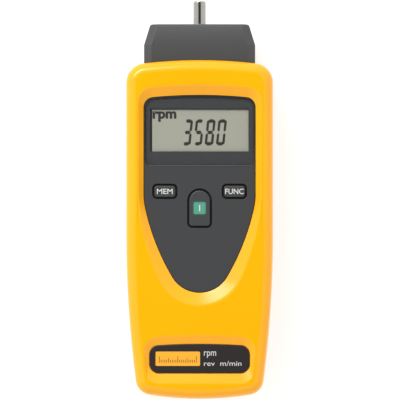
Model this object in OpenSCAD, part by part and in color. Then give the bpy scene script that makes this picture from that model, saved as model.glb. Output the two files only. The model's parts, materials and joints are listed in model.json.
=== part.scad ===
// Hand-held tachometer with a plug-in contact adapter, lying on its back.
// X runs across the case, Y along it towards the shaft, Z out of the display.
// The origin is the middle of the case's flat back. All sizes are in millimetres.

/* [Case] */
// Width across the straight sides
case_w = 60; // [58:0.5:64]
// Length without the adapter
case_l = 138.5; // [136:0.5:144]
// Depth from the back to the front rim
case_d = 28; // [27.5:0.5:31]
// Wall thickness
wall = 2.2; // [1.8:0.1:2.5]
// Height of the parting line above the back
parting_z = 13.8; // [12.6:0.2:15]
// Bevel of each shell at the parting line
seam = 0.3; // [0.1:0.05:0.5]
// Draft of each shell from the parting line to its edge rounding
draft = 0.3; // [0.1:0.05:0.5]
// Rounding of the front edge
front_round = 4.6; // [3.6:0.1:5.2]
// Rounding of the back edge
back_round = 3; // [2.4:0.1:3.6]
// Radius of the crowned top end in plan
top_r = 200; // [160:5:300]
// Corner radius at the top end
top_corner_r = 8; // [7:0.5:9]
// Radius of the tapering flanks in plan
flank_r = 458; // [400:2:600]
// Distance below mid-length where the flanks start to taper
flank_start = 2.4; // [0:0.2:8]
// Corner radius at the bottom end
bottom_corner_r = 6.6; // [6.2:0.1:8]
// Radius of the crowned bottom end in plan
bottom_r = 130; // [110:5:180]

/* [Fascia] */
// Width of the case beside the fascia
face_side = 7.4; // [7:0.1:8]
// Length of the fascia
face_l = 80; // [77:0.5:84]
// Distance from the top end of the case to the fascia
face_gap = 14.85; // [14:0.05:17]
// Radius of the fascia's crowned top
face_top_r = 200; // [160:5:300]
// Corner radius at the fascia's top
face_corner_r = 4.2; // [3.4:0.1:5]
// Distance from the fascia's top to where its sides turn in
face_turn = 40.4; // [38:0.2:43]
// Radius of that turn
face_turn_r = 25; // [15:1:35]
// Radius of the sides below the turn
face_side_r = 95; // [88:1:110]
// Radius of the fascia's lower tip
face_tip_r = 13; // [11:0.5:15]
// Depth of the fascia below the rim
face_depth = 2.4; // [1.6:0.1:2.8]
// Thickness of the fascia
fascia_t = 1.6; // [1.4:0.1:2]
// Width of the dished rim above the fascia
dish_top = 4.1; // [3:0.1:5]
// Width of the dished rim beside the fascia
dish_side = 2.2; // [1.4:0.1:2.6]
// Width of the dished rim below the fascia
dish_bottom = 5.1; // [4:0.1:6]
// Thickness of the floor that carries the fascia
floor_t = 1.6; // [1.3:0.1:2]

/* [Display] */
// Width of the fascia beside the display window
window_side = 2.6; // [2.3:0.1:4.6]
// Height of the display window
window_h = 17.3; // [15:0.1:18]
// Distance from the fascia's top to the window
window_gap = 5.5; // [5:0.1:6.5]
// Width of the display glass beyond the window on each side
lcd_margin = 1.3; // [0.9:0.1:1.4]
// Thickness of the display glass
lcd_t = 1.8; // [1.6:0.1:2]
// Length of the clear lens from the fascia's top
lens_l = 28.7; // [27.5:0.1:30]
// Thickness of the lens
lens_t = 0.8; // [0.6:0.1:1]
// Strip of fascia left around the lens
lens_rim = 0.5; // [0.4:0.1:0.8]
// Lower corner radius of the lens
lens_corner_r = 2.4; // [1.6:0.1:3.2]
// Height of the elastomer connectors under the glass
connector_h = 3; // [2.8:0.1:3.4]
// Width of the elastomer connectors
connector_w = 1.6; // [1.2:0.1:1.8]

/* [Keys] */
// Width of a small key
key_w = 9.2; // [8:0.1:10]
// Height of a small key
key_h = 5.2; // [4.4:0.1:6]
// Corner radius of a small key
key_r = 1.4; // [1:0.1:2]
// Distance of a small key from the middle, as a share of the fascia's width
key_share = 0.312; // [0.292:0.002:0.328]
// Distance from the fascia's top to the small keys
key_drop = 39; // [37.5:0.1:40.5]
// Width of the power key
power_w = 9; // [8.4:0.1:10]
// Length of the power key
power_l = 15; // [13.5:0.1:16.5]
// Lower corner radius of the power key
power_r = 1.5; // [1:0.1:2.4]
// Distance from the fascia's top to the middle of the power key
power_drop = 45.8; // [44.5:0.1:47]
// Gap around each key
key_gap = 0.5; // [0.3:0.05:0.6]
// Height of the keys above the fascia
key_proud = 0.6; // [0.4:0.05:1]
// Travel of each key
key_travel = 0.6; // [0.3:0.05:0.7]
// Rounding of the key tops
key_edge = 0.5; // [0.3:0.05:0.6]
// Width of the flange that retains a key
flange_w = 0.8; // [0.6:0.05:1]
// Thickness of that flange
flange_t = 0.9; // [0.7:0.05:1]
// Side of the coloured mark on the power key
mark_w = 4.9; // [4:0.1:5.4]
// Thickness of the mark
mark_t = 0.4; // [0.3:0.05:0.6]
// Side of a switch under a key
switch_w = 6; // [5.4:0.1:6.4]
// Diameter of a switch plunger
plunger_d = 3.4; // [3:0.1:3.6]
// Thickness of a switch's floor under its plunger
switch_floor = 0.5; // [0.4:0.05:0.7]

/* [Badge] */
// Width of the case beside the badge plate
badge_side = 9.65; // [9:0.05:12]
// Height of the badge plate
badge_h = 11.9; // [10:0.1:13]
// Corner radius of the badge plate
badge_r = 3.9; // [3:0.1:4.6]
// Thickness of the badge plate
badge_t = 0.8; // [0.5:0.05:1]
// Distance from the bottom end of the case to the middle of the plate
badge_gap = 16.85; // [16.2:0.05:19]
// Depth of the plate's face below the rim
badge_depth = 1.6; // [1:0.1:1.8]
// Radius of the crowned top of the badge recess
badge_crown_r = 260; // [200:5:400]
// Width of the recess slope above the plate
badge_slope_top = 3.5; // [2.6:0.1:4.2]
// Width of the recess slope below the plate
badge_slope_bottom = 4; // [3:0.1:4.6]
// Width of the recess slope beside the plate
badge_slope_side = 2; // [1.4:0.1:2.4]

/* [Adapter] */
// Width of the case beside the adapter
nose_side = 7.4; // [7:0.1:8.5]
// Depth of the adapter
nose_d = 17.6; // [17:0.2:18.4]
// Length of the adapter outside the case
nose_out = 14.15; // [12:0.05:17]
// Length outside the case before it tapers
nose_straight = 5.65; // [4:0.05:7]
// Taper of the adapter's sides, each
nose_taper = 2.2; // [1.6:0.1:3]
// Taper of the adapter's front and back, each
nose_taper_z = 1.2; // [0.6:0.1:1.6]
// Bevel along the adapter's long edges
nose_bevel = 2.9; // [2:0.1:3.2]
// Rounding of the adapter's front edge
nose_edge = 1.2; // [0.8:0.1:1.6]
// Length of the adapter inside the mouth of the case
plug_l = 8; // [7:0.1:8.6]
// Wall of the adapter around its pockets
nose_wall = 1.8; // [1.5:0.1:2]
// Thickness of the adapter's rear plate
back_t = 2; // [1.6:0.1:2.4]
// Wall of the socket that guides the adapter
socket_t = 1.5; // [1.2:0.1:1.8]

/* [Spindle] */
// Diameter of the contact shaft in its bearings
shaft_d = 6; // [5.4:0.1:6.4]
// Diameter of the stub that the contact tips fit on
stub_d = 5; // [4:0.1:5.3]
// Length of the shaft outside the adapter
shaft_out = 9.6; // [7:0.1:14]
// Length of the collar between the adapter and the stub
collar_l = 0.3; // [0.2:0.05:0.6]
// Bevel at the end of the shaft
shaft_bevel = 0.6; // [0.3:0.1:1]
// Outer diameter of the bearings
bearing_od = 12; // [11.6:0.1:13]
// Width of the bearings
bearing_w = 3; // [2.6:0.1:3.4]
// Diameter of the bearing balls
ball_d = 1.6; // [1.4:0.1:1.7]
// Balls in each bearing
ball_count = 8; // [6:1:9]
// Depth of the ball grooves
race_depth = 0.15; // [0.1:0.01:0.2]
// Distance between the two bearings
bearing_span = 9.4; // [8:0.1:10]
// Diameter of the shaft's shoulder between the bearings
shoulder_d = 7.4; // [6.8:0.1:7.6]
// Wall in front of the front bearing
nose_front_t = 2; // [1.6:0.1:2.4]
// Thickness of the retaining clip behind the rear bearing
clip_t = 0.8; // [0.6:0.05:1]
// Depth of the clip's groove
clip_groove = 0.5; // [0.3:0.05:0.6]
// Diameter of the chopper disc
disc_d = 11.6; // [11:0.1:12.2]
// Thickness of the chopper disc
disc_t = 1; // [0.7:0.05:1.2]
// Windows in the chopper disc
disc_windows = 6; // [3:1:8]

/* [Optics] */
// Distance of the laser and the receiver from the adapter's axis
optics_x = 4.8; // [4.5:0.1:5.2]
// Diameter of the laser module and of the receiver's tube
optic_d = 6; // [5.4:0.1:6.4]
// Thickness of the two lenses at their edge
optic_lens_t = 1; // [0.8:0.1:1.4]
// Length of the block that holds the optics
block_l = 8.3; // [7.6:0.1:9]
// Thickness of the window that closes the optical head
head_window_t = 1.5; // [1.2:0.1:1.8]

/* [Battery] */
// Diameter of a cell
cell_d = 14.5; // [13.5:0.1:14.7]
// Length of a cell with its contact
cell_l = 50.5; // [48:0.1:51.5]
// Diameter of a cell's contact
cell_tip_d = 5.5; // [4.5:0.1:6]
// Height of a cell's contact
cell_tip_h = 1.2; // [0.8:0.1:1.6]
// Length of a fitted spring
spring_l = 3.6; // [3:0.1:4.4]
// Wire of the springs
spring_wire = 0.6; // [0.5:0.05:0.8]
// Thickness of the contact plates
contact_t = 0.4; // [0.3:0.05:0.5]
// Wall of the battery bay
bay_wall = 1.4; // [1.2:0.1:1.6]
// Thickness of the sliding cover
cover_t = 1.9; // [1.6:0.1:2]
// Width of the cover's guide tongues
tongue_w = 0.8; // [0.6:0.05:1]
// Thickness of the cover's guide tongues
tongue_t = 0.9; // [0.7:0.05:1]

/* [Board] */
// Distance from the sides of the case to the circuit board
board_side = 9; // [8.8:0.1:10]
// Thickness of the circuit board
board_t = 1.6; // [1.4:0.1:1.8]
// Side of the processor chip
chip_w = 10; // [8:0.5:12]
// Thickness of the processor chip
chip_t = 1.5; // [1.2:0.1:2]

/* [Screws] */
// Diameter of the case screws
screw_d = 2.5; // [2.2:0.1:2.8]
// Head diameter of the case screws
screw_head_d = 4.6; // [4.2:0.1:4.8]
// Head height of the case screws
screw_head_h = 1.8; // [1.5:0.1:2.2]
// Length of the case screws under the head
screw_l = 14; // [12:0.5:14.5]
// Depth of the counterbores in the back
counterbore = 7; // [6:0.1:7.5]
// Radius of the screw bosses
boss_r = 3; // [2.8:0.05:3.2]
// Distance of the upper screws from the sides of the case
screw_inset = 5.4; // [5:0.1:5.6]
// Distance of the upper screws from the top end
screw_top = 18.5; // [17.5:0.1:24]
// Distance of the lower screws from the middle
screw_low_x = 20.9; // [20.6:0.1:21.2]
// Distance of the lower screws from the bottom end
screw_low = 9.6; // [9:0.1:11]
// Diameter of the small screws
small_d = 2; // [1.8:0.1:2.2]
// Head diameter of the small screws
small_head_d = 3.6; // [3.2:0.1:3.8]
// Head height of the small screws
small_head_h = 1.3; // [1:0.1:1.5]
// Length of the small screws under the head
small_l = 4.2; // [3.8:0.1:4.5]

/* [Fits] */
// Clearance around parts that are seated
seat_clear = 0.12; // [0.05:0.01:0.2]
// Clearance around parts that slide
slide_clear = 0.2; // [0.12:0.01:0.3]
// Radial clearance of turning and press fits
fit_clear = 0.02; // [0.01:0.005:0.04]

/* [Hidden] */
$fn = 40;

yellow = "#FDBF00";
dark_grey = "#4B4B49";
nose_grey = "#575553";
key_grey = "#55565A";
black = "#1E1E1E";
steel = "#C9CBCC";
board_green = "#2F6B45";
film_blue = "#3B6E8F";
glass = "#A6A898";
gold = "#C9A227";

// A small overlap that lets one solid cut cleanly through another
over = 0.5;
// Points closer than this are one point
tiny = 0.0001;
// Steps of an edge rounding and of a corner in plan
round_steps = 5;
corner_steps = 8;
crown_steps = 4;
side_steps = 8;
key_steps = 3;
// How far the middle of a rounding stands in from its corner, as a share of its radius
round_mid = 1 - cos(45);

// Ends of the case
y_top = case_l / 2;
y_bottom = -case_l / 2;

// Levels of the pieces behind the fascia
face_z = case_d - face_depth;
floor_top = face_z - fascia_t;
floor_z = floor_top - floor_t;
lcd_z = floor_top - lcd_t;
board_top = lcd_z - connector_h;
board_z = board_top - board_t;
flange_z = floor_top - seat_clear - flange_t;
switch_top = flange_z - key_travel - slide_clear;

// Fascia and display in plan
face_w = case_w - 2 * face_side;
window_w = face_w - 2 * window_side;
key_x = face_w * key_share;
face_top_y = y_top - face_gap;
face_bottom_y = face_top_y - face_l;
face_turn_y = face_top_y - face_turn;
window_top_y = face_top_y - window_gap;
window_y = window_top_y - window_h / 2;
lcd_w = window_w + 2 * lcd_margin;
lcd_h = window_h + 2 * lcd_margin;
key_y = face_top_y - key_drop;
power_y = face_top_y - power_drop;
power_mark_z = face_z + key_proud - mark_t;

// Badge plate
badge_w = case_w - 2 * badge_side;
badge_y = y_bottom + badge_gap;
badge_z = case_d - badge_depth - badge_t;
badge_floor_t = 1.4;

// Adapter, mouth and spindle
shaft_z = case_d / 2;
nose_w = case_w - 2 * nose_side;
nose_tip_w = nose_w - 2 * nose_taper;
nose_tip_d = nose_d - 2 * nose_taper_z;
plug_y = y_top - plug_l;
nose_tip_y = y_top + nose_out;
shaft_tip_y = nose_tip_y + shaft_out;
front_bearing_y = nose_tip_y - nose_front_t - bearing_w;
rear_bearing_y = front_bearing_y - bearing_span - bearing_w;
bearing_r = bearing_od / 2;
pitch_r = (shaft_d + bearing_od) / 4;
inner_ring_r = pitch_r - ball_d / 2 + race_depth;
outer_ring_r = pitch_r + ball_d / 2 - race_depth;
tube_r = bearing_r + nose_wall;
clip_y = rear_bearing_y - clip_t - fit_clear;
disc_y = plug_y + slide_clear;
// Air around the turning pieces
turn_gap = 0.4;
// Width of the gap in the retaining clip
clip_gap = 3;
// Width of a window in the chopper disc, and the rim left around it
disc_window_w = 1.2;
disc_rim = 0.5;
// Side of the cages beyond the balls
cage_side = 0.35;
adapter_screw_x = (tube_r + nose_tip_w / 2 - nose_wall) / 2;
adapter_boss_r = small_head_d / 2 + turn_gap;

// Optical head
block_y1 = plug_y - slide_clear;
block_y = block_y1 - block_l;
block_w = nose_w - 2 * nose_wall;
block_drop = 0.6;
block_z = shaft_z - nose_d / 2 + block_drop;
block_top = floor_z - seat_clear;
head_rim = 3;
head_window_w = block_w - 2 * head_rim;
head_window_h = nose_d - 2 * head_rim;
head_window_y = block_y1 - head_window_t;
optic_gap = 0.8;
optic_lens_y = head_window_y - optic_lens_t - optic_gap;
optic_l = optic_lens_y - block_y;
optic_cap_h = 0.6;
emitter_depth = 2;
leg_d = 0.5;
leg_l = 4;
leg_x = 1.27;
diode_flange = 1;
diode_step = 0.5;

// Battery bay and cover
cover_z = seat_clear;
cover_top = cover_z + cover_t;
bay_half = cell_d + 2 * slide_clear;
cover_half = bay_half + bay_wall;
// How far the crowned bottom end stands in at the bay's corners
bottom_sag = bottom_r - sqrt(bottom_r * bottom_r - cover_half * cover_half);
bay_y = y_bottom + bottom_sag + wall + draft + slide_clear + bay_wall;
contact_gap = 0.05;
bay_l = cell_l + spring_l + 2 * (contact_t + contact_gap);
bay_y1 = bay_y + bay_l;
cell_z = cover_top + slide_clear + cell_d / 2;
cell_x = bay_half / 2;
bay_top = cell_z + cell_d / 2 + slide_clear;
contact_y = bay_y + contact_gap + contact_t;
contact_y1 = bay_y1 - contact_gap - contact_t;
cover_y1 = bay_y1 - bay_wall;
tongue_z = cover_top - tongue_t;
// The contact tails leave the bay under its top and stay below the board
tail_drop = 0.6;
tail_rise = 1.7;
tail_z = min(bay_top - contact_t - tail_drop, board_z - tail_rise);
tail_half = 1.5;
tail_reach = 2;
contact_inset = 1;
contact_half = cell_d / 2 - contact_inset;
coil_inset = 2;
// Ribs of the cover's thumb grip
grip_l = 12;
grip_pitch = 2;
grip_w = 1;
grip_edge = 3;
grip_count = 6;

// Circuit board in plan
board_w = case_w - 2 * board_side;
board_gap = 0.6;
bay_gap = 0.9;
board_y = bay_y1 + bay_wall + bay_gap;
board_y1 = block_y - board_gap;
board_screw_edge = 2.7;
board_low_y = board_y + board_screw_edge;
board_low_x = 15;
board_screw_side = 2.8;
board_high_x = board_w / 2 - board_screw_side;
board_high_y = (window_y - lcd_h / 2 + key_y + key_h / 2 + key_gap) / 2;
board_boss_r = 2.5;

// Pieces on the board
leg_w = 0.4;
leg_pitch = 1;
leg_reach = 1.2;
chip_stand = 0.1;
can_w = 4;
can_l = 6;
can_h = 3.5;
can_inset = 11;

case_screw_places = [
    [case_w / 2 - screw_inset, y_top - screw_top],
    [-(case_w / 2 - screw_inset), y_top - screw_top],
    [screw_low_x, y_bottom + screw_low],
    [-screw_low_x, y_bottom + screw_low]
];
board_screw_places = [
    [board_high_x, board_high_y],
    [-board_high_x, board_high_y],
    [board_low_x, board_low_y],
    [-board_low_x, board_low_y]
];

function dir(angle) = [cos(angle), sin(angle)];
function angle_of(v) = atan2(v[1], v[0]);

// Meeting point, left of the way from p to q, of circles about p and q
function meet(p, rp, q, rq) =
    let (l = norm(q - p), u = (q - p) / l, s = (rp * rp - rq * rq + l * l) / (2 * l))
    p + s * u + sqrt(rp * rp - s * s) * [-u[1], u[0]];

// An outline is a right-hand half of tangent arcs: [centre, radius, first angle, last angle, steps]
function arc_points(arc, inset) = [
    for (i = [0:arc[4]]) arc[0] + (arc[1] - inset) * dir(arc[2] + (arc[3] - arc[2]) * i / arc[4])
];
function half_points(arcs, inset) = [for (arc = arcs) each arc_points(arc, inset)];
function distinct(p) = [for (i = [0:len(p) - 1]) if (i == 0 || norm(p[i] - p[i - 1]) > tiny) p[i]];
function both_halves(h) = concat(h, [for (i = [len(h) - 1:-1:0]) if (h[i][0] > tiny) [-h[i][0], h[i][1]]]);
function outline(arcs, inset = 0) = both_halves(distinct(half_points(arcs, inset)));

// Rectangle with one corner radius, about its own middle
function rect_arcs(w, h, r, steps) = [
    [[w / 2 - r, h / 2 - r], r, 90, 0, steps],
    [[w / 2 - r, r - h / 2], r, 0, -90, steps]
];

// Rectangle with a crowned top
function crowned_arcs(w, y0, y1, crown_r, r1, r0) =
    let (turn = acos((w / 2 - r1) / (crown_r - r1)), crown = [0, y1 - crown_r])
    [
        [crown, crown_r, 90, turn, crown_steps],
        [crown + (crown_r - r1) * dir(turn), r1, turn, 0, corner_steps],
        [[w / 2 - r0, y0 + r0], r0, 0, -90, corner_steps]
    ];

// Plan of the case: crowned ends, straight sides and flanks that taper towards the bottom
function case_arcs() =
    let (
        crown = [0, y_top - top_r],
        turn = acos((case_w / 2 - top_corner_r) / (top_r - top_corner_r)),
        flank = [case_w / 2 - flank_r, -flank_start],
        foot = [0, y_bottom + bottom_r],
        corner = meet(foot, bottom_r - bottom_corner_r, flank, flank_r - bottom_corner_r),
        flank_end = angle_of(corner - flank),
        foot_start = angle_of(corner - foot)
    )
    [
        [crown, top_r, 90, turn, crown_steps],
        [crown + (top_r - top_corner_r) * dir(turn), top_corner_r, turn, 0, corner_steps],
        [flank, flank_r, 0, flank_end, side_steps],
        [corner, bottom_corner_r, flank_end, foot_start, corner_steps],
        [foot, bottom_r, foot_start, -90, crown_steps]
    ];

// Plan of the fascia and of the dish around it: a crowned top that runs down to a round tip
function shield_arcs(w, y1, y0, r1, turn_r, side_r, tip_r) =
    let (
        crown = [0, y1 - face_top_r],
        turn = acos((w / 2 - r1) / (face_top_r - r1)),
        shoulder = [w / 2 - turn_r, face_turn_y],
        tip = [0, y0 + tip_r],
        side = meet(tip, side_r - tip_r, shoulder, side_r - turn_r),
        side_start = angle_of(shoulder - side),
        side_end = angle_of(tip - side)
    )
    [
        [crown, face_top_r, 90, turn, crown_steps],
        [crown + (face_top_r - r1) * dir(turn), r1, turn, 0, corner_steps],
        [shoulder, turn_r, 0, side_start, crown_steps],
        [side, side_r, side_start, side_end, side_steps],
        [tip, tip_r, side_end, -90, corner_steps]
    ];

face_arcs = shield_arcs(
    face_w, face_top_y, face_bottom_y, face_corner_r, face_turn_r, face_side_r, face_tip_r
);
dish_arcs = shield_arcs(
    face_w + 2 * dish_side, face_top_y + dish_top, face_bottom_y - dish_bottom, face_corner_r + dish_side,
    face_turn_r + dish_side, face_side_r + (dish_side + dish_bottom) / 2, face_tip_r + dish_bottom
);
badge_arcs = crowned_arcs(
    badge_w, badge_y - badge_h / 2, badge_y + badge_h / 2, badge_crown_r, badge_r, badge_r
);
badge_dish_arcs = crowned_arcs(
    badge_w + 2 * badge_slope_side, badge_y - badge_h / 2 - badge_slope_bottom,
    badge_y + badge_h / 2 + badge_slope_top, badge_crown_r,
    badge_r + badge_slope_side, badge_r + badge_slope_side
);
lens_arcs = crowned_arcs(
    face_w - 2 * lens_rim, face_top_y - lens_l, face_top_y - lens_rim, face_top_r - lens_rim,
    face_corner_r - lens_rim, lens_corner_r
);
small_key_arcs = rect_arcs(key_w, key_h, key_r, corner_steps);
power_key_arcs = [
    [[0, power_l / 2 - power_w / 2], power_w / 2, 90, 0, corner_steps],
    [[power_w / 2 - power_r, power_r - power_l / 2], power_r, 0, -90, corner_steps]
];

// A ring is an outline at a height; lofted rings run upwards
function ring(arcs, inset, z) = [outline(arcs, inset), z];

module loft(rings) {
    n = len(rings[0][0]);
    last = len(rings) - 1;
    points = [for (r = rings) for (p = r[0]) [p[0], p[1], r[1]]];
    sides = [
        for (k = [0:last - 1]) for (j = [0:n - 1])
            let (a = k * n + j, b = k * n + (j + 1) % n)
            each [[a, b, b + n], [a, b + n, a + n]]
    ];
    bottom = [for (j = [n - 1:-1:0]) j];
    top = [for (j = [0:n - 1]) last * n + j];
    polyhedron(points, concat([bottom, top], sides));
}

module plate(arcs, inset, z, t) {
    translate([0, 0, z]) linear_extrude(t) polygon(outline(arcs, inset));
}

// Turns a solid built upwards so that it runs along Y from the given place
module along_y(x, y, z) {
    translate([x, y, z]) rotate([-90, 0, 0]) children();
}

module box(low, high) {
    translate(low) cube(high - low);
}

// Both sides of the middle plane
module each_side() {
    children();
    mirror([1, 0, 0]) children();
}

// Outer form of the front half: straight from the parting line, then a rounded edge
module front_form() {
    start = case_d - front_round;
    loft(concat(
        [ring(case_arcs(), seam, parting_z), ring(case_arcs(), 0, parting_z + seam)],
        [for (i = [0:round_steps]) ring(
            case_arcs(),
            draft + front_round * (1 - cos(90 * i / round_steps)),
            start + front_round * sin(90 * i / round_steps)
        )]
    ));
}

module front_hollow() {
    inner_round = front_round - wall;
    loft([
        ring(case_arcs(), wall, parting_z - over),
        ring(case_arcs(), wall + draft, case_d - wall - inner_round),
        ring(case_arcs(), wall + draft + inner_round * round_mid, case_d - wall - inner_round * round_mid),
        ring(case_arcs(), wall + draft + inner_round, case_d - wall)
    ]);
}

module rear_form() {
    loft(concat(
        [for (i = [0:round_steps]) ring(
            case_arcs(),
            draft + back_round * (1 - sin(90 * i / round_steps)),
            back_round * (1 - cos(90 * i / round_steps))
        )],
        [ring(case_arcs(), 0, parting_z - seam), ring(case_arcs(), seam, parting_z)]
    ));
}

module rear_hollow() {
    inner_round = back_round / 2;
    loft([
        ring(case_arcs(), wall + draft + inner_round, wall),
        ring(case_arcs(), wall + draft, wall + inner_round),
        ring(case_arcs(), wall, parting_z + over)
    ]);
}

// The dish slopes from the rim down to the fascia
module face_dish() {
    loft([
        ring(face_arcs, 0, floor_top),
        ring(face_arcs, 0, face_z),
        ring(dish_arcs, 0, case_d),
        ring(dish_arcs, 0, case_d + over)
    ]);
}

// Walls and floor under the dish
module face_pan() {
    loft([
        ring(face_arcs, -wall, floor_z),
        ring(face_arcs, -wall, floor_z + floor_t),
        ring(dish_arcs, 0, case_d - wall + over)
    ]);
}

module badge_dish() {
    loft([
        ring(badge_arcs, 0, badge_z),
        ring(badge_arcs, 0, badge_z + badge_t),
        ring(badge_dish_arcs, 0, case_d),
        ring(badge_dish_arcs, 0, case_d + over)
    ]);
}

function nose_arcs(w, d) = rect_arcs(w, d, nose_bevel, 1);
tip_arcs = nose_arcs(nose_tip_w, nose_tip_d);

// Prism of the adapter's section, grown by a gap, along Y
module nose_prism(grow, y0, y1) {
    along_y(0, y0, shaft_z) linear_extrude(y1 - y0) polygon(outline(nose_arcs(nose_w, nose_d), -grow));
}

// Socket in the mouth of the case that guides the adapter
module socket(z0, z1) {
    intersection() {
        nose_prism(slide_clear + socket_t, plug_y, y_top - wall / 2);
        box([-case_w / 2, plug_y - over, z0], [case_w / 2, y_top, z1]);
    }
}

module mouth_cut() {
    nose_prism(slide_clear, plug_y - over, y_top + over);
}

module front_shell() color(yellow) difference() {
    union() {
        difference() {
            front_form();
            front_hollow();
        }
        face_pan();
        plate(badge_dish_arcs, 0, badge_z - badge_floor_t, badge_floor_t + badge_depth);
        socket(parting_z, case_d - wall);
        for (p = case_screw_places) {
            translate([p[0], p[1], parting_z]) cylinder(r = boss_r, h = case_d - wall - parting_z);
        }
        for (p = board_screw_places) {
            translate([p[0], p[1], board_top]) cylinder(r = board_boss_r, h = floor_z - board_top + over);
        }
    }
    face_dish();
    badge_dish();
    mouth_cut();
    translate([0, window_y, 0]) plate(
        rect_arcs(lcd_w, lcd_h, seat_clear, 1), -seat_clear, floor_z - over, floor_t + 2 * over
    );
    for (x = [-key_x, key_x]) {
        translate([x, key_y, 0]) plate(
            small_key_arcs, -key_gap - flange_w - slide_clear, floor_z - over, floor_t + 2 * over
        );
    }
    translate([0, power_y, 0]) plate(
        power_key_arcs, -key_gap - flange_w - slide_clear, floor_z - over, floor_t + 2 * over
    );
    for (p = case_screw_places) {
        translate([p[0], p[1], parting_z - over]) cylinder(
            d = screw_d - 2 * fit_clear, h = counterbore + screw_l - parting_z + 2 * over
        );
    }
    for (p = board_screw_places) {
        translate([p[0], p[1], board_top - over]) cylinder(
            d = small_d - 2 * fit_clear, h = small_l - board_t + 2 * over
        );
    }
}

// Box around the cells, with rails above the cover's tongues
module bay_box() {
    rail = cover_half + tongue_w + bay_wall;
    low_z = cover_top + slide_clear;
    box([-cover_half, bay_y - bay_wall, low_z], [cover_half, bay_y1 + bay_wall, bay_top + bay_wall]);
    box([-rail, bay_y - bay_wall, wall / 2], [rail, bay_y1, low_z + bay_wall]);
}

module bay_cut() {
    box([-bay_half, bay_y, min(wall, cover_top)], [bay_half, bay_y1, bay_top]);
}

// Way of the cover through the back and out of the bottom end
module cover_cut() {
    edge = cover_half + slide_clear;
    box([-edge, y_bottom - over, -over], [edge, cover_y1 + slide_clear, cover_top + slide_clear]);
    box(
        [-edge - tongue_w, y_bottom - over, tongue_z - slide_clear],
        [edge + tongue_w, cover_y1 + slide_clear, cover_top + slide_clear]
    );
}

module rear_shell() color(yellow) difference() {
    union() {
        difference() {
            rear_form();
            rear_hollow();
        }
        bay_box();
        socket(wall / 2, parting_z);
        for (p = case_screw_places) {
            translate([p[0], p[1], wall / 2]) cylinder(r = boss_r, h = parting_z - wall / 2);
        }
        each_side() box(
            [block_w / 4, block_y, wall / 2],
            [block_w / 4 + wall, block_y1, block_z - seat_clear]
        );
    }
    bay_cut();
    cover_cut();
    mouth_cut();
    for (p = case_screw_places) {
        translate([p[0], p[1], -over]) cylinder(d = screw_head_d + 2 * slide_clear, h = counterbore + over);
        translate([p[0], p[1], -over]) cylinder(d = screw_d + 2 * slide_clear, h = parting_z + 2 * over);
    }
    for (x = [-cell_x, cell_x]) {
        box(
            [x - tail_half - slide_clear, bay_y1 - over, tail_z - slide_clear],
            [x + tail_half + slide_clear, bay_y1 + bay_wall + over, tail_z + contact_t + slide_clear]
        );
    }
}

module fascia() color(dark_grey) difference() {
    plate(face_arcs, seat_clear, floor_top, fascia_t);
    plate(lens_arcs, -seat_clear, face_z - lens_t, lens_t + over);
    translate([0, window_y, 0]) plate(
        rect_arcs(window_w, window_h, seat_clear, 1), 0, floor_top - over, fascia_t + 2 * over
    );
    for (x = [-key_x, key_x]) {
        translate([x, key_y, 0]) plate(small_key_arcs, -key_gap, floor_top - over, fascia_t + 2 * over);
    }
    translate([0, power_y, 0]) plate(power_key_arcs, -key_gap, floor_top - over, fascia_t + 2 * over);
}

module display_lens() color(glass, 0.4) plate(lens_arcs, 0, face_z - lens_t, lens_t);

// Two bonded glass plates, the rear one longer for the contacts
module lcd_panel() color(glass) {
    y0 = window_y - lcd_h / 2;
    box([-lcd_w / 2, y0, lcd_z], [lcd_w / 2, y0 + lcd_h, lcd_z + lcd_t / 2]);
    box([-lcd_w / 2, y0 + lcd_margin / 2, lcd_z + lcd_t / 2], [lcd_w / 2, y0 + lcd_h, floor_top]);
}

module lcd_connectors() color("#8C5A6B") {
    reach = lcd_h / 2 - connector_w / 2;
    for (y = [window_y - reach, window_y + reach]) {
        box(
            [-lcd_w / 2 + lcd_margin, y - connector_w / 2, board_top],
            [lcd_w / 2 - lcd_margin, y + connector_w / 2, lcd_z]
        );
    }
}

module badge_plate() color("#332B2B") plate(badge_arcs, seat_clear, badge_z, badge_t);

// A key: a cap with rounded top edges on a flange that stays under the fascia
module key(arcs) {
    cap_top = face_z + key_proud;
    loft(concat(
        [ring(arcs, 0, flange_z + flange_t / 2)],
        [for (i = [0:key_steps]) ring(
            arcs,
            key_edge * (1 - cos(90 * i / key_steps)),
            cap_top - key_edge + key_edge * sin(90 * i / key_steps)
        )]
    ));
    plate(arcs, -key_gap - flange_w, flange_z, flange_t);
}

module power_button() color(key_grey) translate([0, power_y, 0]) difference() {
    key(power_key_arcs);
    box(
        [-mark_w / 2 - fit_clear, -mark_w / 2 - fit_clear, power_mark_z],
        [mark_w / 2 + fit_clear, mark_w / 2 + fit_clear, case_d]
    );
}

module power_mark() color("#5FA68E") translate([0, power_y, 0]) box(
    [-mark_w / 2, -mark_w / 2, power_mark_z], [mark_w / 2, mark_w / 2, power_mark_z + mark_t]
);

module memory_button() color(key_grey) translate([-key_x, key_y, 0]) key(small_key_arcs);

module function_button() color(key_grey) translate([key_x, key_y, 0]) key(small_key_arcs);

module key_switches() color(black) {
    for (p = [[0, power_y], [-key_x, key_y], [key_x, key_y]]) {
        translate([p[0], p[1], 0]) difference() {
            box([-switch_w / 2, -switch_w / 2, board_top], [switch_w / 2, switch_w / 2, switch_top]);
            translate([0, 0, board_top + switch_floor]) cylinder(
                d = plunger_d + 2 * slide_clear, h = case_d
            );
        }
    }
}

// A plunger stands under its key and moves with it
module plunger(x, y) {
    z0 = board_top + switch_floor + key_travel + slide_clear;
    color("#8F8A80") translate([x, y, z0]) cylinder(d = plunger_d, h = flange_z - z0);
}

module power_plunger() plunger(0, power_y);

module memory_plunger() plunger(-key_x, key_y);

module function_plunger() plunger(key_x, key_y);

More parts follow.
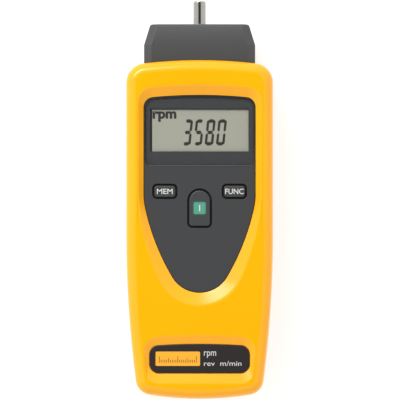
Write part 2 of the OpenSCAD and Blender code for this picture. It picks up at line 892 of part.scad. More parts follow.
module main_board() color(board_green) difference() {
    box([-board_w / 2, board_y, board_z], [board_w / 2, board_y1, board_top]);
    for (p = board_screw_places) {
        translate([p[0], p[1], board_z - over]) cylinder(
            d = small_d + 2 * slide_clear, h = board_t + 2 * over
        );
    }
}

// Flat package with legs along its four sides
module processor_chip() color(black) translate([0, board_high_y, 0]) {
    box([-chip_w / 2, -chip_w / 2, board_z - chip_t], [chip_w / 2, chip_w / 2, board_z - chip_stand]);
    for (turn = [0:90:270]) rotate([0, 0, turn]) {
        for (x = [-chip_w / 2 + leg_pitch:leg_pitch:chip_w / 2 - leg_pitch]) {
            box(
                [x - leg_w / 2, chip_w / 2 - leg_w, board_z - leg_w],
                [x + leg_w / 2, chip_w / 2 + leg_reach, board_z]
            );
        }
    }
}

// Flat-sided metal can
module timing_crystal() color(steel) translate([
    board_w / 2 - can_inset, board_high_y - chip_w, board_z - can_h
]) {
    each_side() translate([can_l / 2, 0, 0]) cylinder(d = can_w, h = can_h);
    box([-can_l / 2, -can_w / 2, 0], [can_l / 2, can_w / 2, can_h]);
}

// Screw pointing up from its head, with a cross recess underneath
module screw(d, head_d, head_h, l) {
    slot = d / 4;
    difference() {
        union() {
            translate([0, 0, -head_h]) cylinder(d = head_d, h = head_h);
            cylinder(d = d - 4 * fit_clear, h = l);
        }
        for (turn = [0, 90]) rotate([0, 0, turn]) {
            box([-head_d / 3, -slot / 2, -head_h - over], [head_d / 3, slot / 2, -head_h / 2]);
        }
    }
}

module board_screws() color(steel) for (p = board_screw_places) {
    translate([p[0], p[1], board_z]) screw(small_d, small_head_d, small_head_h, small_l);
}

module case_screws() color(steel) for (p = case_screw_places) {
    translate([p[0], p[1], counterbore]) screw(screw_d, screw_head_d, screw_head_h, screw_l);
}

// A cell standing on its flat end
module cell() {
    cylinder(d = cell_d, h = cell_l - cell_tip_h);
    cylinder(d = cell_tip_d, h = cell_l);
}

module battery_left() color(film_blue) translate([-cell_x, contact_y + cell_l, cell_z]) {
    rotate([90, 0, 0]) cell();
}

module battery_right() color(film_blue) along_y(cell_x, contact_y1 - cell_l, cell_z) cell();

// Conical coil of round wire, standing on its wide end
module coil_spring() {
    turns = 2.5;
    steps = 36;
    wire_sides = 6;
    wide_r = cell_d / 2 - coil_inset;
    tight_r = cell_d / 4;
    wire_r = spring_wire / 2;
    points = [
        for (i = [0:steps])
            let (t = i / steps, turn = 360 * turns * t, r = wide_r + (tight_r - wide_r) * t)
            for (k = [0:wire_sides - 1])
                let (a = 360 * k / wire_sides, reach = r + wire_r * cos(a))
                [
                    reach * cos(turn),
                    reach * sin(turn),
                    wire_r + (spring_l - 2 * wire_r) * t + wire_r * sin(a)
                ]
    ];
    sides = [
        for (i = [0:steps - 1]) for (k = [0:wire_sides - 1])
            let (a = i * wire_sides + k, b = i * wire_sides + (k + 1) % wire_sides)
            each [[a, b, b + wire_sides], [a, b + wire_sides, a + wire_sides]]
    ];
    first = [for (k = [wire_sides - 1:-1:0]) k];
    last = [for (k = [0:wire_sides - 1]) steps * wire_sides + k];
    polyhedron(points, concat([first, last], sides));
}

module battery_springs() color(steel) {
    translate([-cell_x, contact_y1, cell_z]) rotate([90, 0, 0]) coil_spring();
    along_y(cell_x, contact_y, cell_z) coil_spring();
}

// Two plates whose tails pass through the bay's wall and turn up to the board
module battery_terminals() color(gold) for (x = [-cell_x, cell_x]) translate([x, 0, 0]) {
    tail_y = board_y + tail_reach;
    box([-contact_half, contact_y1, cell_z - contact_half], [contact_half, contact_y1 + contact_t, tail_z]);
    box([-tail_half, contact_y1, tail_z], [tail_half, tail_y, tail_z + contact_t]);
    box([-tail_half, tail_y - contact_t, tail_z], [tail_half, tail_y, board_z]);
}

module battery_link() color(gold) box(
    [-cell_x - contact_half, contact_y - contact_t, cell_z - contact_half],
    [cell_x + contact_half, contact_y, cell_z + contact_half]
);

// The cover is a slice of the case's back with a tongue along each side and a ribbed thumb grip
module battery_cover() color(yellow) difference() {
    intersection() {
        rear_form();
        union() {
            box([-cover_half, y_bottom - over, cover_z], [cover_half, cover_y1, cover_top]);
            box(
                [-cover_half - tongue_w, y_bottom - over, tongue_z],
                [cover_half + tongue_w, cover_y1, cover_top]
            );
        }
    }
    for (i = [0:grip_count - 1]) {
        y = cover_y1 - grip_edge - i * grip_pitch;
        box([-grip_l / 2, y - grip_w, -over], [grip_l / 2, y, cover_z + cover_t / 3]);
    }
}

module optical_block() color(black) difference() {
    box([-block_w / 2, block_y, block_z], [block_w / 2, block_y1, block_top]);
    box(
        [-head_window_w / 2 - seat_clear, head_window_y, shaft_z - head_window_h / 2 - seat_clear],
        [head_window_w / 2 + seat_clear, block_y1 + over, shaft_z + head_window_h / 2 + seat_clear]
    );
    for (x = [-optics_x, optics_x]) {
        along_y(x, block_y - over, shaft_z) cylinder(d = optic_d + 2 * fit_clear, h = block_l);
    }
}

// Two legs behind the block
module optic_legs() {
    each_side() translate([leg_x, 0, -leg_l]) cylinder(d = leg_d, h = leg_l + diode_flange / 2);
}

// Metal can with a recessed emitter
module laser_module() color(gold) along_y(-optics_x, block_y, shaft_z) {
    optic_legs();
    difference() {
        cylinder(d = optic_d, h = optic_l);
        translate([0, 0, optic_l - emitter_depth]) cylinder(d = optic_d / 2, h = emitter_depth + over);
    }
}

// Plano-convex lens: a disc with a shallow cap of a sphere on its inner side
module optic_lens(x) {
    cap_r = (optic_d * optic_d / 4 + optic_cap_h * optic_cap_h) / (2 * optic_cap_h);
    along_y(x, optic_lens_y, shaft_z) {
        cylinder(d = optic_d, h = optic_lens_t);
        intersection() {
            translate([0, 0, optic_lens_t + optic_cap_h - cap_r]) sphere(r = cap_r);
            cylinder(d = optic_d, h = optic_lens_t + optic_cap_h);
        }
    }
}

module laser_lens() color("#D9E4EA", 0.6) optic_lens(-optics_x);

module receiver_lens() color("#D9E4EA", 0.6) optic_lens(optics_x);

// Clear package with a domed front, a flange and two legs
module photodiode() color("#6E5A5A") along_y(optics_x, block_y, shaft_z) {
    body_d = optic_d - 2 * diode_step;
    body_l = optic_l - diode_step - body_d / 2;
    optic_legs();
    cylinder(d = optic_d, h = diode_flange);
    cylinder(d = body_d, h = body_l);
    translate([0, 0, body_l]) intersection() {
        sphere(d = body_d);
        cylinder(d = body_d, h = body_d / 2);
    }
}

module head_window() color("#7A2B2B", 0.6) box(
    [-head_window_w / 2, head_window_y, shaft_z - head_window_h / 2],
    [head_window_w / 2, block_y1, shaft_z + head_window_h / 2]
);

module adapter_housing() color(nose_grey) difference() {
    along_y(0, plug_y, shaft_z) loft([
        ring(nose_arcs(nose_w, nose_d), 0, 0),
        ring(nose_arcs(nose_w, nose_d), 0, plug_l + nose_straight),
        ring(tip_arcs, 0, plug_l + nose_out - nose_edge),
        ring(tip_arcs, nose_edge * round_mid, plug_l + nose_out - nose_edge * round_mid),
        ring(tip_arcs, nose_edge, plug_l + nose_out)
    ]);
    along_y(0, plug_y - over, shaft_z) {
        cylinder(d = bearing_od, h = front_bearing_y + bearing_w - plug_y + over);
        cylinder(d = shaft_d + 2 * turn_gap, h = plug_l + nose_out + 2 * over);
    }
    along_y(0, clip_y, shaft_z) cylinder(r = bearing_r + clip_groove, h = clip_t + fit_clear);
    nose_prism(-nose_wall, plug_y - over, plug_y + back_t);
    each_side() difference() {
        pocket_z = nose_tip_d / 2 - nose_wall;
        box(
            [tube_r, plug_y - over, shaft_z - pocket_z],
            [nose_tip_w / 2 - nose_wall, nose_tip_y - nose_front_t - nose_edge, shaft_z + pocket_z]
        );
        along_y(adapter_screw_x, plug_y + back_t, shaft_z) {
            cylinder(r = adapter_boss_r, h = plug_l + nose_out);
        }
    }
    each_side() along_y(adapter_screw_x, plug_y, shaft_z) {
        cylinder(d = small_d - 2 * fit_clear, h = small_head_h + small_l + over);
    }
}

module adapter_back() color(nose_grey) difference() {
    nose_prism(-nose_wall - seat_clear, plug_y, plug_y + back_t);
    along_y(0, plug_y - over, shaft_z) cylinder(d = disc_d + 2 * turn_gap, h = back_t + 2 * over);
    each_side() along_y(adapter_screw_x, plug_y - over, shaft_z) {
        cylinder(d = small_d + 2 * slide_clear, h = back_t + 2 * over);
        cylinder(d = small_head_d + 2 * slide_clear, h = small_head_h + over);
    }
}

module adapter_screws() color(steel) for (x = [-adapter_screw_x, adapter_screw_x]) {
    along_y(x, plug_y + small_head_h, shaft_z) screw(small_d, small_head_d, small_head_h, small_l);
}

// Turned shaft: a bevelled stub, a collar, two bearing seats and a shoulder between them
module contact_shaft() color(steel) along_y(0, disc_y, shaft_z) rotate_extrude() {
    r = shaft_d / 2;
    stub_r = stub_d / 2;
    stub = nose_tip_y + collar_l - disc_y;
    l = shaft_tip_y - disc_y;
    seat0 = rear_bearing_y + bearing_w - disc_y;
    seat1 = front_bearing_y - disc_y;
    polygon([
        [0, 0], [r, 0], [r, seat0], [shoulder_d / 2, seat0], [shoulder_d / 2, seat1], [r, seat1],
        [r, stub], [stub_r, stub], [stub_r, l - shaft_bevel], [stub_r - shaft_bevel, l], [0, l]
    ]);
}

// Bearing ring between two radii, with the groove that the balls run in
module bearing_ring(r0, r1, y) {
    along_y(0, y, shaft_z) rotate_extrude() difference() {
        translate([r0, 0]) square([r1 - r0, bearing_w]);
        translate([pitch_r, bearing_w / 2]) circle(r = ball_d / 2 + fit_clear);
    }
}

module front_bearing_outer() color(steel) {
    bearing_ring(outer_ring_r, bearing_r - fit_clear, front_bearing_y);
}

module rear_bearing_outer() color(steel) {
    bearing_ring(outer_ring_r, bearing_r - fit_clear, rear_bearing_y);
}

module front_bearing_inner() color(steel) {
    bearing_ring(shaft_d / 2 + fit_clear, inner_ring_r, front_bearing_y);
}

module rear_bearing_inner() color(steel) {
    bearing_ring(shaft_d / 2 + fit_clear, inner_ring_r, rear_bearing_y);
}

module ball_places() {
    for (i = [0:ball_count - 1]) rotate([0, 0, 360 * i / ball_count]) {
        translate([pitch_r, 0, bearing_w / 2]) children();
    }
}

module bearing_balls() color("#E4E6E8") for (y = [rear_bearing_y, front_bearing_y]) {
    along_y(0, y, shaft_z) ball_places() sphere(d = ball_d);
}

module bearing_cages() color(gold) for (y = [rear_bearing_y, front_bearing_y]) {
    cage_half_t = (outer_ring_r - inner_ring_r) / 4;
    cage_w = ball_d + 2 * cage_side;
    along_y(0, y, shaft_z) difference() {
        translate([0, 0, (bearing_w - cage_w) / 2]) difference() {
            cylinder(r = pitch_r + cage_half_t, h = cage_w);
            translate([0, 0, -over]) cylinder(r = pitch_r - cage_half_t, h = cage_w + 2 * over);
        }
        ball_places() rotate([0, 90, 0]) cylinder(d = ball_d + 2 * fit_clear, h = ball_d, center = true);
    }
}

// Tube that keeps the outer rings apart
module bearing_spacer() color("#9DA1A4") along_y(0, rear_bearing_y + bearing_w, shaft_z) difference() {
    cylinder(r = bearing_r - fit_clear, h = bearing_span);
    translate([0, 0, -over]) cylinder(r = outer_ring_r, h = bearing_span + 2 * over);
}

// Open ring that snaps into its groove behind the rear bearing
module bearing_clip() color(steel) along_y(0, clip_y, shaft_z) difference() {
    cylinder(r = bearing_r + clip_groove - fit_clear, h = clip_t);
    translate([0, 0, -over]) cylinder(r = outer_ring_r, h = clip_t + 2 * over);
    box([-clip_gap / 2, 0, -over], [clip_gap / 2, bearing_od, clip_t + over]);
}

module chopper_disc() color("#303236") along_y(0, disc_y, shaft_z) difference() {
    union() {
        cylinder(d = disc_d, h = disc_t);
        cylinder(r = inner_ring_r, h = rear_bearing_y - disc_y);
    }
    translate([0, 0, -over]) cylinder(r = shaft_d / 2 + fit_clear, h = rear_bearing_y);
    for (i = [0:disc_windows - 1]) rotate([0, 0, 360 * i / disc_windows]) {
        box(
            [inner_ring_r + disc_rim, -disc_window_w / 2, -over],
            [disc_d / 2 - disc_rim, disc_window_w / 2, disc_t + over]
        );
    }
}

front_shell();
rear_shell();
fascia();
display_lens();
lcd_panel();
lcd_connectors();
badge_plate();
power_button();
power_mark();
memory_button();
function_button();
key_switches();
power_plunger();
memory_plunger();
function_plunger();
main_board();
processor_chip();
timing_crystal();
board_screws();
case_screws();
battery_left();
battery_right();
battery_springs();
battery_terminals();
battery_link();
battery_cover();
optical_block();
laser_module();
laser_lens();
photodiode();
receiver_lens();
head_window();
adapter_housing();
adapter_back();
adapter_screws();
contact_shaft();
front_bearing_outer();
rear_bearing_outer();
front_bearing_inner();
rear_bearing_inner();
bearing_balls();
bearing_cages();
bearing_spacer();
bearing_clip();
chopper_disc();
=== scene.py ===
"""Looks of a hand-held tachometer with a plug-in contact adapter, laid out as an add-on.

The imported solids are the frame. Each operator dresses one piece or group of like pieces: it models the piece
in edit mode or finishes a copy of its solid, gives it a material and makes it ride on its body.
"""
import json
import math

import bmesh
import bpy
from bpy.props import FloatProperty, FloatVectorProperty, PointerProperty, StringProperty
from mathutils import Matrix, Vector


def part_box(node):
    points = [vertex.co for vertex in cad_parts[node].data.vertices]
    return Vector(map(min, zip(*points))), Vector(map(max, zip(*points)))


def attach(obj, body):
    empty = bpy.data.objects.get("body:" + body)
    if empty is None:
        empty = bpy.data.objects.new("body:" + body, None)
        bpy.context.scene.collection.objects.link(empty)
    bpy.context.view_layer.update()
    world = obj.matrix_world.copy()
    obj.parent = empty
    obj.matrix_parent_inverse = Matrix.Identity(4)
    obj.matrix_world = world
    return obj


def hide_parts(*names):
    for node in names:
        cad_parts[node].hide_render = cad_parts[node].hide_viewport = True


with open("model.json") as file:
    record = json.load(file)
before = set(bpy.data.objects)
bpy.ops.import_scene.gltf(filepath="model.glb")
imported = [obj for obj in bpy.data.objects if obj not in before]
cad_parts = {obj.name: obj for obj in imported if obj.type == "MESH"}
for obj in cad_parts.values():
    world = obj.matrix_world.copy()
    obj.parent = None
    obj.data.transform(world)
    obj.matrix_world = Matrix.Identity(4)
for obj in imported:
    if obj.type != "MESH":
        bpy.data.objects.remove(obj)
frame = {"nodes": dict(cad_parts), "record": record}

bl_info = {
    "name": "Contact tachometer",
    "version": (1, 0, 0),
    "blender": (4, 5, 0),
    "location": "View3D > Sidebar > Tachometer",
    "description": "Dresses the solids of a hand-held tachometer",
    "category": "Object",
}

MM = 0.001
# Height of printed ink above the face that carries it
INK = 0.03 * MM
# Corner radius of the smallest printed forms
PRINT_CORNER = 0.1 * MM
# Distances in metres below which points are one: in an outline, at a level and in a copied solid
NEAR, LEVEL, MERGE = 1e-7, 1e-6, 2e-6
# Faces of a copied solid that differ by less than this become one
FLAT = math.radians(0.4)
# Degrees up to which faces are smoothed, and how many times that an edge has to turn to be broken
SMOOTH_ANGLE, EDGE_TURN = 32, 1.25
# Above 50, large faces count for more than small ones where their normals are blended
FACE_WEIGHT = 80
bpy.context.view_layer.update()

BODY_OF = {
    node: body
    for body, nodes in frame["record"]["behaviour"]["bodies"].items()
    for node in nodes
}


def node_box(node):
    """Lowest and highest corner of a solid, as vectors."""
    low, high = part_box(node)
    return Vector(low), Vector(high)


def node_middle(node):
    low, high = node_box(node)
    return (low + high) / 2


CASE_LOW, CASE_HIGH = node_box("front_shell")
FACE_LOW, FACE_HIGH = node_box("fascia")
BADGE_LOW, BADGE_HIGH = node_box("badge_plate")
LCD_LOW, LCD_HIGH = node_box("lcd_panel")
SHAFT_LOW, SHAFT_HIGH = node_box("contact_shaft")
NOSE_LOW, NOSE_HIGH = node_box("adapter_housing")
AXIS_Z = node_middle("contact_shaft").z


def hex_colour(text):
    """Linear colour of an sRGB hex value."""
    parts = [int(text[i:i + 2], 16) / 255 for i in (1, 3, 5)]
    return [c / 12.92 if c <= 0.04045 else ((c + 0.055) / 1.055) ** 2.4 for c in parts]


def shade(tone, share):
    """A darker tone of a colour."""
    return [c * share for c in tone]


def length(title, text, size):
    """A property that holds a length given in millimetres."""
    return FloatProperty(name=title, description=text, default=size * MM, unit="LENGTH", precision=5)


def colour(title, text, value):
    """A property that holds a colour given as sRGB hex."""
    return FloatVectorProperty(
        name=title, description=text, default=hex_colour(value), size=3, min=0, max=1, subtype="COLOR"
    )


class TachCaseShape(bpy.types.PropertyGroup):
    """Radii and slopes of the case that its box doesn't give"""

    seam: length("Seam", "Bevel of the shell at the parting line", 0.3)
    draft: length("Draft", "Draft of the shell's sides", 0.3)
    wall: length("Wall", "Wall of the shell", 2.2)
    edge: length("Front edge", "Rounding of the front edge", 4.6)
    top_r: length("Top radius", "Radius of the crowned top end", 200)
    top_corner: length("Top corners", "Corner radius at the top end", 8)
    flank_r: length("Flank radius", "Radius of the tapering flanks", 458)
    flank_start: length("Flank start", "Distance below mid-length where the flanks taper", 2.4)
    bottom_corner: length("Bottom corners", "Corner radius at the bottom end", 6.6)
    bottom_r: length("Bottom radius", "Radius of the crowned bottom end", 130)
    face_top_r: length("Fascia top", "Radius of the fascia's crowned top", 200)
    face_corner: length("Fascia corners", "Corner radius at the fascia's top", 4.2)
    face_turn: length("Fascia turn", "Distance from the fascia's top to the turn of its sides", 40.4)
    face_turn_r: length("Turn radius", "Radius of the turn", 25)
    face_side_r: length("Fascia sides", "Radius of the sides below the turn", 95)
    face_tip_r: length("Fascia tip", "Radius of the fascia's lower tip", 13)
    face_gap: length("Fascia gap", "Clearance around the fascia", 0.25)
    dish_top: length("Dish top", "Width of the dished rim above the fascia", 4.1)
    dish_side: length("Dish side", "Width of the dished rim beside the fascia", 2.2)
    dish_bottom: length("Dish bottom", "Width of the dished rim below the fascia", 5.1)
    badge_corner: length("Badge corners", "Corner radius of the badge plate", 3.9)
    badge_crown: length("Badge crown", "Radius of the crowned top of the badge recess", 260)
    badge_top: length("Badge slope top", "Width of the recess slope above the plate", 3.5)
    badge_bottom: length("Badge slope bottom", "Width of the recess slope below the plate", 4)
    badge_side: length("Badge slope side", "Width of the recess slope beside the plate", 2)
    floor_t: length("Floor", "Thickness of the floor that carries the fascia", 1.6)
    mouth_gap: length("Mouth gap", "Clearance around the adapter", 0.2)
    nose_bevel: length("Adapter bevel", "Bevel along the adapter's long edges", 2.9)


class TachColours(bpy.types.PropertyGroup):
    """Colours of the finishes"""

    case: colour("Case", "Moulded case", "#F3AA00")
    case_deep: colour("Case, deep", "Deeper tone of the moulding", "#EFA200")
    fascia: colour("Fascia", "Moulded fascia", "#2F3032")
    keys: colour("Keys", "Moulded keys", "#333436")
    adapter: colour("Adapter", "Moulded adapter", "#393A3A")
    display: colour("Display", "Reflective display behind its polariser", "#9E9C8F")
    segments: colour("Segments", "Dark display segments", "#241F18")
    legends: colour("Legends", "Printed legends", "#C9C9C5")
    power: colour("Power mark", "Inlay of the power key", "#498F78")
    badge: colour("Badge", "Badge plate", "#211B1B")
    accent: colour("Accent", "Printed accent on the badge plate", "#F2A623")
    floor: colour("Floor", "Studio floor", "#F4F4F4")


class TachDisplay(bpy.types.PropertyGroup):
    """What the display shows"""

    reading: StringProperty(name="Reading", description="Digits shown", default="3580")
    unit: StringProperty(name="Unit", description="Unit shown", default="rpm")
    digit_h: length("Digit height", "Height of the digits", 10.65)
    digit_w: length("Digit width", "Width of a digit", 3.5)
    digit_pitch: length("Digit pitch", "Distance between digits", 4.58)
    digit_x: length("Digits left", "Left edge of the digits", -7.2)
    digit_y: length("Digits foot", "Distance from the glass's lower edge to the digits", 3.7)
    slant: FloatProperty(
        name="Slant", description="Slant of the digits", default=math.radians(6), subtype="ANGLE"
    )
    bar: length("Bar", "Width of the level segments", 1.42)
    stem: length("Stem", "Width of the upright segments", 1.0)
    corner: length("Segment corners", "Bevel at the corners of a segment", 0.12)
    unit_x: length("Unit left", "Left edge of the unit", -19.1)
    unit_y: length("Unit foot", "Distance from the glass's lower edge to the unit", 13.3)
    unit_w: length("Unit width", "Width of the unit", 9.7)
    unit_h: length("Unit height", "Height of the unit", 4.3)
    margin: length("Margin", "Width of the glass that the fascia covers", 1.3)
    border: length("Border", "Width of the black border at the right", 0.15)
    # The border is wider at the top and the left: painted shadow of the window's wall on the glass
    shade_border_top: length("Border top", "Width of the black border at the top", 0.35)
    shade_border_left: length("Border left", "Width of the black border at the left", 0.75)


class TachKeys(bpy.types.PropertyGroup):
    """Details of the keys that their boxes don't give"""

    gap: length("Gap", "Gap around a key", 0.5)
    flange: length("Flange", "Width of the flange beyond the gap", 0.8)
    flange_t: length("Flange thickness", "Thickness of the flange", 0.9)
    way: length("Way", "Room around a key through the floor of the case", 1.5)
    corner: length("Corners", "Corner radius of a key", 1.45)
    edge: length("Edge", "Rounding of a key's top", 0.5)
    play: length("Play", "Draft of a cap inside its gap", 0.3)
    mark_corner: length("Mark corners", "Corner radius of the power key's inlay", 0.7)
    mark_border: length("Mark border", "Width of the dark border around the inlay", 0.45)
    border_corner: length("Border corners", "Corner radius of the dark border", 1)
    bar_w: length("Bar width", "Width of the bar on the inlay", 0.46)
    bar_h: length("Bar height", "Height of the bar on the inlay", 2.6)


class TachBadge(bpy.types.PropertyGroup):
    """Print on the badge plate"""

    inset: length("Inset", "Distance from the plate's left edge to the field", 2.4)
    field_w: length("Field width", "Width of the field", 18)
    field_h: length("Field height", "Height of the field", 5.8)
    field_corner: length("Field corners", "Corner radius of the field", 0.5)
    tick_start: length("First tick", "Distance from the field's left edge to the first tick", 1.5)
    tick_pitch: length("Tick pitch", "Distance between ticks", 0.75)
    tick_w: length("Tick width", "Width of a tick", 0.22)
    tick_foot: length("Tick foot", "Distance from the plate's middle down to the foot of the ticks", 1.6)
    text_gap: length("Text gap", "Gap between the field and the lettering", 1.6)


class TachSpindle(bpy.types.PropertyGroup):
    """Details of the contact shaft"""

    shaft_r: length("Seat radius", "Radius of the bearing seats", 3)
    stub_r: length("Stub radius", "Radius of the stub that the contact tips fit on", 2.5)
    shoulder_r: length("Shoulder radius", "Radius between the bearings", 3.7)
    collar: length("Collar", "Length of the collar in front of the adapter", 0.3)
    bevel: length("Bevel", "Bevel at the end of the shaft", 0.6)
    soft: length("Soft edges", "Bevel at the steps of the shaft", 0.1)


class TachStage(bpy.types.PropertyGroup):
    """Camera and light"""

    field: length("Field", "Width of the picture at the focus height", 162.7)
    focus_z: length("Focus height", "Height above the floor where the field is measured", 20)
    centre_x: length("Picture centre X", "Middle of the picture across the case", 0.16)
    centre_y: length("Picture centre Y", "Middle of the picture along the case", 11.9)
    distance: length("Distance", "Camera above the focus", 1600)
    key_power: FloatProperty(
        name="Key light", description="Power of the key light", default=11.5, unit="POWER"
    )
    key_w: length("Key width", "Width of the key light", 860)
    key_h: length("Key height", "Height of the key light", 130)
    tent: FloatProperty(name="Tent", description="Brightness of the light tent", default=1.15, soft_max=2)
    ceiling: FloatProperty(
        name="Ceiling", description="Brightness of the tent around the camera", default=0.1, subtype="FACTOR"
    )
    table_glow: FloatProperty(
        name="Table glow", description="Glow of the light table", default=0.75, subtype="FACTOR"
    )


GROUPS = {
    "tach_case": TachCaseShape,
    "tach_colours": TachColours,
    "tach_display": TachDisplay,
    "tach_keys": TachKeys,
    "tach_badge": TachBadge,
    "tach_spindle": TachSpindle,
    "tach_stage": TachStage,
}


# Outlines: a right-hand half of tangent arcs, mirrored to the left

def direction(angle):
    return Vector((math.cos(angle), math.sin(angle)))


def angle_of(v):
    return math.atan2(v.y, v.x)


def meet(p, rp, q, rq):
    """Meeting point, left of the way from p to q, of circles about p and q."""
    way = q - p
    u = way.normalized()
    s = (rp * rp - rq * rq + way.length_squared) / (2 * way.length)
    return p + s * u + math.sqrt(rp * rp - s * s) * Vector((-u.y, u.x))


def outline(arcs, inset=0.0):
    """Points of a closed outline, clockwise from the top, moved inwards by an inset."""
    half = []
    for centre, radius, first, last, steps in arcs:
        for i in range(steps + 1):
            point = centre + (radius - inset) * direction(first + (last - first) * i / steps)
            if not half or (point - half[-1]).length > NEAR:
                half.append(point)
    left = [Vector((-p.x, p.y)) for p in reversed(half) if p.x > NEAR]
    return half + left


UP, RIGHT, DOWN = math.pi / 2, 0.0, -math.pi / 2
CROWN_STEPS, CORNER_STEPS, SIDE_STEPS, ROUND_STEPS = 10, 14, 18, 14
# The rim of a recess is softened over this share of its slope
RIM_SHARE, RIM_STEPS = 0.14, 5


def crown_corner(half_w, top, crown_r, corner_r):
    """Two arcs: a crowned top and the corner that runs into a straight side."""
    crown = Vector((0, top - crown_r))
    turn = math.acos((half_w - corner_r) / (crown_r - corner_r))
    corner = crown + (crown_r - corner_r) * direction(turn)
    return [(crown, crown_r, UP, turn, CROWN_STEPS), (corner, corner_r, turn, RIGHT, CORNER_STEPS)]


def case_arcs(shape):
    half_w = CASE_HIGH.x
    end = CASE_HIGH.y
    flank = Vector((half_w - shape.flank_r, -shape.flank_start))
    foot = Vector((0, shape.bottom_r - end))
    corner = meet(foot, shape.bottom_r - shape.bottom_corner, flank, shape.flank_r - shape.bottom_corner)
    flank_end = angle_of(corner - flank)
    foot_start = angle_of(corner - foot)
    return crown_corner(half_w, end, shape.top_r, shape.top_corner) + [
        (flank, shape.flank_r, RIGHT, flank_end, SIDE_STEPS),
        (corner, shape.bottom_corner, flank_end, foot_start, CORNER_STEPS),
        (foot, shape.bottom_r, foot_start, DOWN, CROWN_STEPS),
    ]


def shield_arcs(shape, side, top, bottom):
    """Plan of the fascia's opening, grown by a width at its sides, top and bottom."""
    half_w = FACE_HIGH.x + shape.face_gap + side
    face_top = FACE_HIGH.y + shape.face_gap
    face_bottom = FACE_LOW.y - shape.face_gap
    turn_r = shape.face_turn_r + side
    tip_r = shape.face_tip_r + bottom
    side_r = shape.face_side_r + (side + bottom) / 2
    shoulder = Vector((half_w - turn_r, face_top - shape.face_turn))
    tip = Vector((0, face_bottom - bottom + tip_r))
    middle = meet(tip, side_r - tip_r, shoulder, side_r - turn_r)
    start = angle_of(shoulder - middle)
    end = angle_of(tip - middle)
    return crown_corner(half_w, face_top + top, shape.face_top_r, shape.face_corner + side) + [
        (shoulder, turn_r, RIGHT, start, CROWN_STEPS),
        (middle, side_r, start, end, SIDE_STEPS),
        (tip, tip_r, end, DOWN, CORNER_STEPS),
    ]


def badge_arcs(shape, side, top, bottom):
    """Plan of the badge recess, grown by a width at its sides, top and bottom."""
    half_w = BADGE_HIGH.x + shape.face_gap + side
    corner_r = shape.badge_corner + side
    low = BADGE_LOW.y - shape.face_gap - bottom
    foot = Vector((half_w - corner_r, low + corner_r))
    return crown_corner(half_w, BADGE_HIGH.y + shape.face_gap + top, shape.badge_crown, corner_r) + [
        (foot, corner_r, RIGHT, DOWN, CORNER_STEPS)
    ]


def lift(points, z):
    return [Vector((p.x, p.y, z)) for p in points]


def blend_rings(low, high, share):
    return [a.lerp(b, share) for a, b in zip(low, high)]


# Edit mode: rings of points are added, extruded and closed

def select_only(obj):
    bpy.ops.object.select_all(action="DESELECT")
    obj.select_set(True)
    bpy.context.view_layer.objects.active = obj


def edit_mesh():
    return bmesh.from_edit_mesh(bpy.context.object.data)


def order_layer(mesh):
    """Layer that numbers the points of a ring; an extruded point keeps its number."""
    return mesh.verts.layers.int.get("order") or mesh.verts.layers.int.new("order")


def show_edit():
    bmesh.update_edit_mesh(bpy.context.object.data)


def open_piece(name, ring):
    """A new object in edit mode that holds one ring."""
    bpy.ops.object.select_all(action="DESELECT")
    bpy.ops.mesh.primitive_circle_add(vertices=len(ring))
    bpy.context.object.name = name
    bpy.ops.object.mode_set(mode="EDIT")
    place_ring(ring)


def add_ring(ring):
    bpy.ops.mesh.select_all(action="DESELECT")
    bpy.ops.mesh.primitive_circle_add(vertices=len(ring))
    place_ring(ring)


def place_ring(ring):
    mesh = edit_mesh()
    order = order_layer(mesh)
    chosen = [v for v in mesh.verts if v.select]
    for i, vert in enumerate(chosen):
        vert[order] = i
        vert.co = ring[i]
    show_edit()


def extrude_to(ring):
    bpy.ops.mesh.extrude_region_move()
    mesh = edit_mesh()
    order = order_layer(mesh)
    for vert in mesh.verts:
        if vert.select:
            vert.co = ring[vert[order]]
    show_edit()


def close_ring():
    bpy.ops.mesh.edge_face_add()


def select_level(z):
    """Selects the points at a height, with the edges between them."""
    bpy.ops.mesh.select_all(action="DESELECT")
    mesh = edit_mesh()
    for vert in mesh.verts:
        vert.select = abs(vert.co.z - z) < LEVEL
    mesh.select_flush(True)
    show_edit()


def close_piece():
    """Points all faces outwards and leaves edit mode."""
    bpy.ops.mesh.select_all(action="SELECT")
    bpy.ops.mesh.normals_make_consistent(inside=False)
    bpy.ops.object.mode_set(mode="OBJECT")
    return bpy.context.object


def loft(name, rings):
    """A closed solid through rings of equal count."""
    open_piece(name, rings[0])
    close_ring()
    for ring in rings[1:]:
        extrude_to(ring)
    return close_piece()


def apply_modifier(obj, kind, **settings):
    select_only(obj)
    modifier = obj.modifiers.new(kind.lower(), kind)
    for key, value in settings.items():
        setattr(modifier, key, value)
    bpy.ops.object.modifier_apply(modifier=modifier.name)


def cut(obj, tool):
    """Cuts a piece with a tool, which is then removed."""
    apply_modifier(obj, "BOOLEAN", operation="DIFFERENCE", solver="EXACT", object=tool)
    mesh = tool.data
    bpy.data.objects.remove(tool)
    bpy.data.meshes.remove(mesh)


def smooth(obj, angle=SMOOTH_ANGLE):
    """Smooth faces up to an angle, with flat faces kept flat."""
    select_only(obj)
    bpy.ops.object.shade_smooth_by_angle(angle=math.radians(angle))
    apply_modifier(obj, "WEIGHTED_NORMAL", keep_sharp=True, weight=FACE_WEIGHT)


def dress(obj, node, finish):
    """Gives a piece its finish and makes it stand for a solid."""
    obj.data.materials.clear()
    obj.data.materials.append(material_of(finish))
    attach(obj, BODY_OF[node])
    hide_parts(node)
    return obj


def print_piece(obj, node, finish):
    """Gives an added piece its finish and makes it ride with the solid that carries it."""
    obj.data.materials.clear()
    obj.data.materials.append(material_of(finish))
    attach(obj, BODY_OF[node])


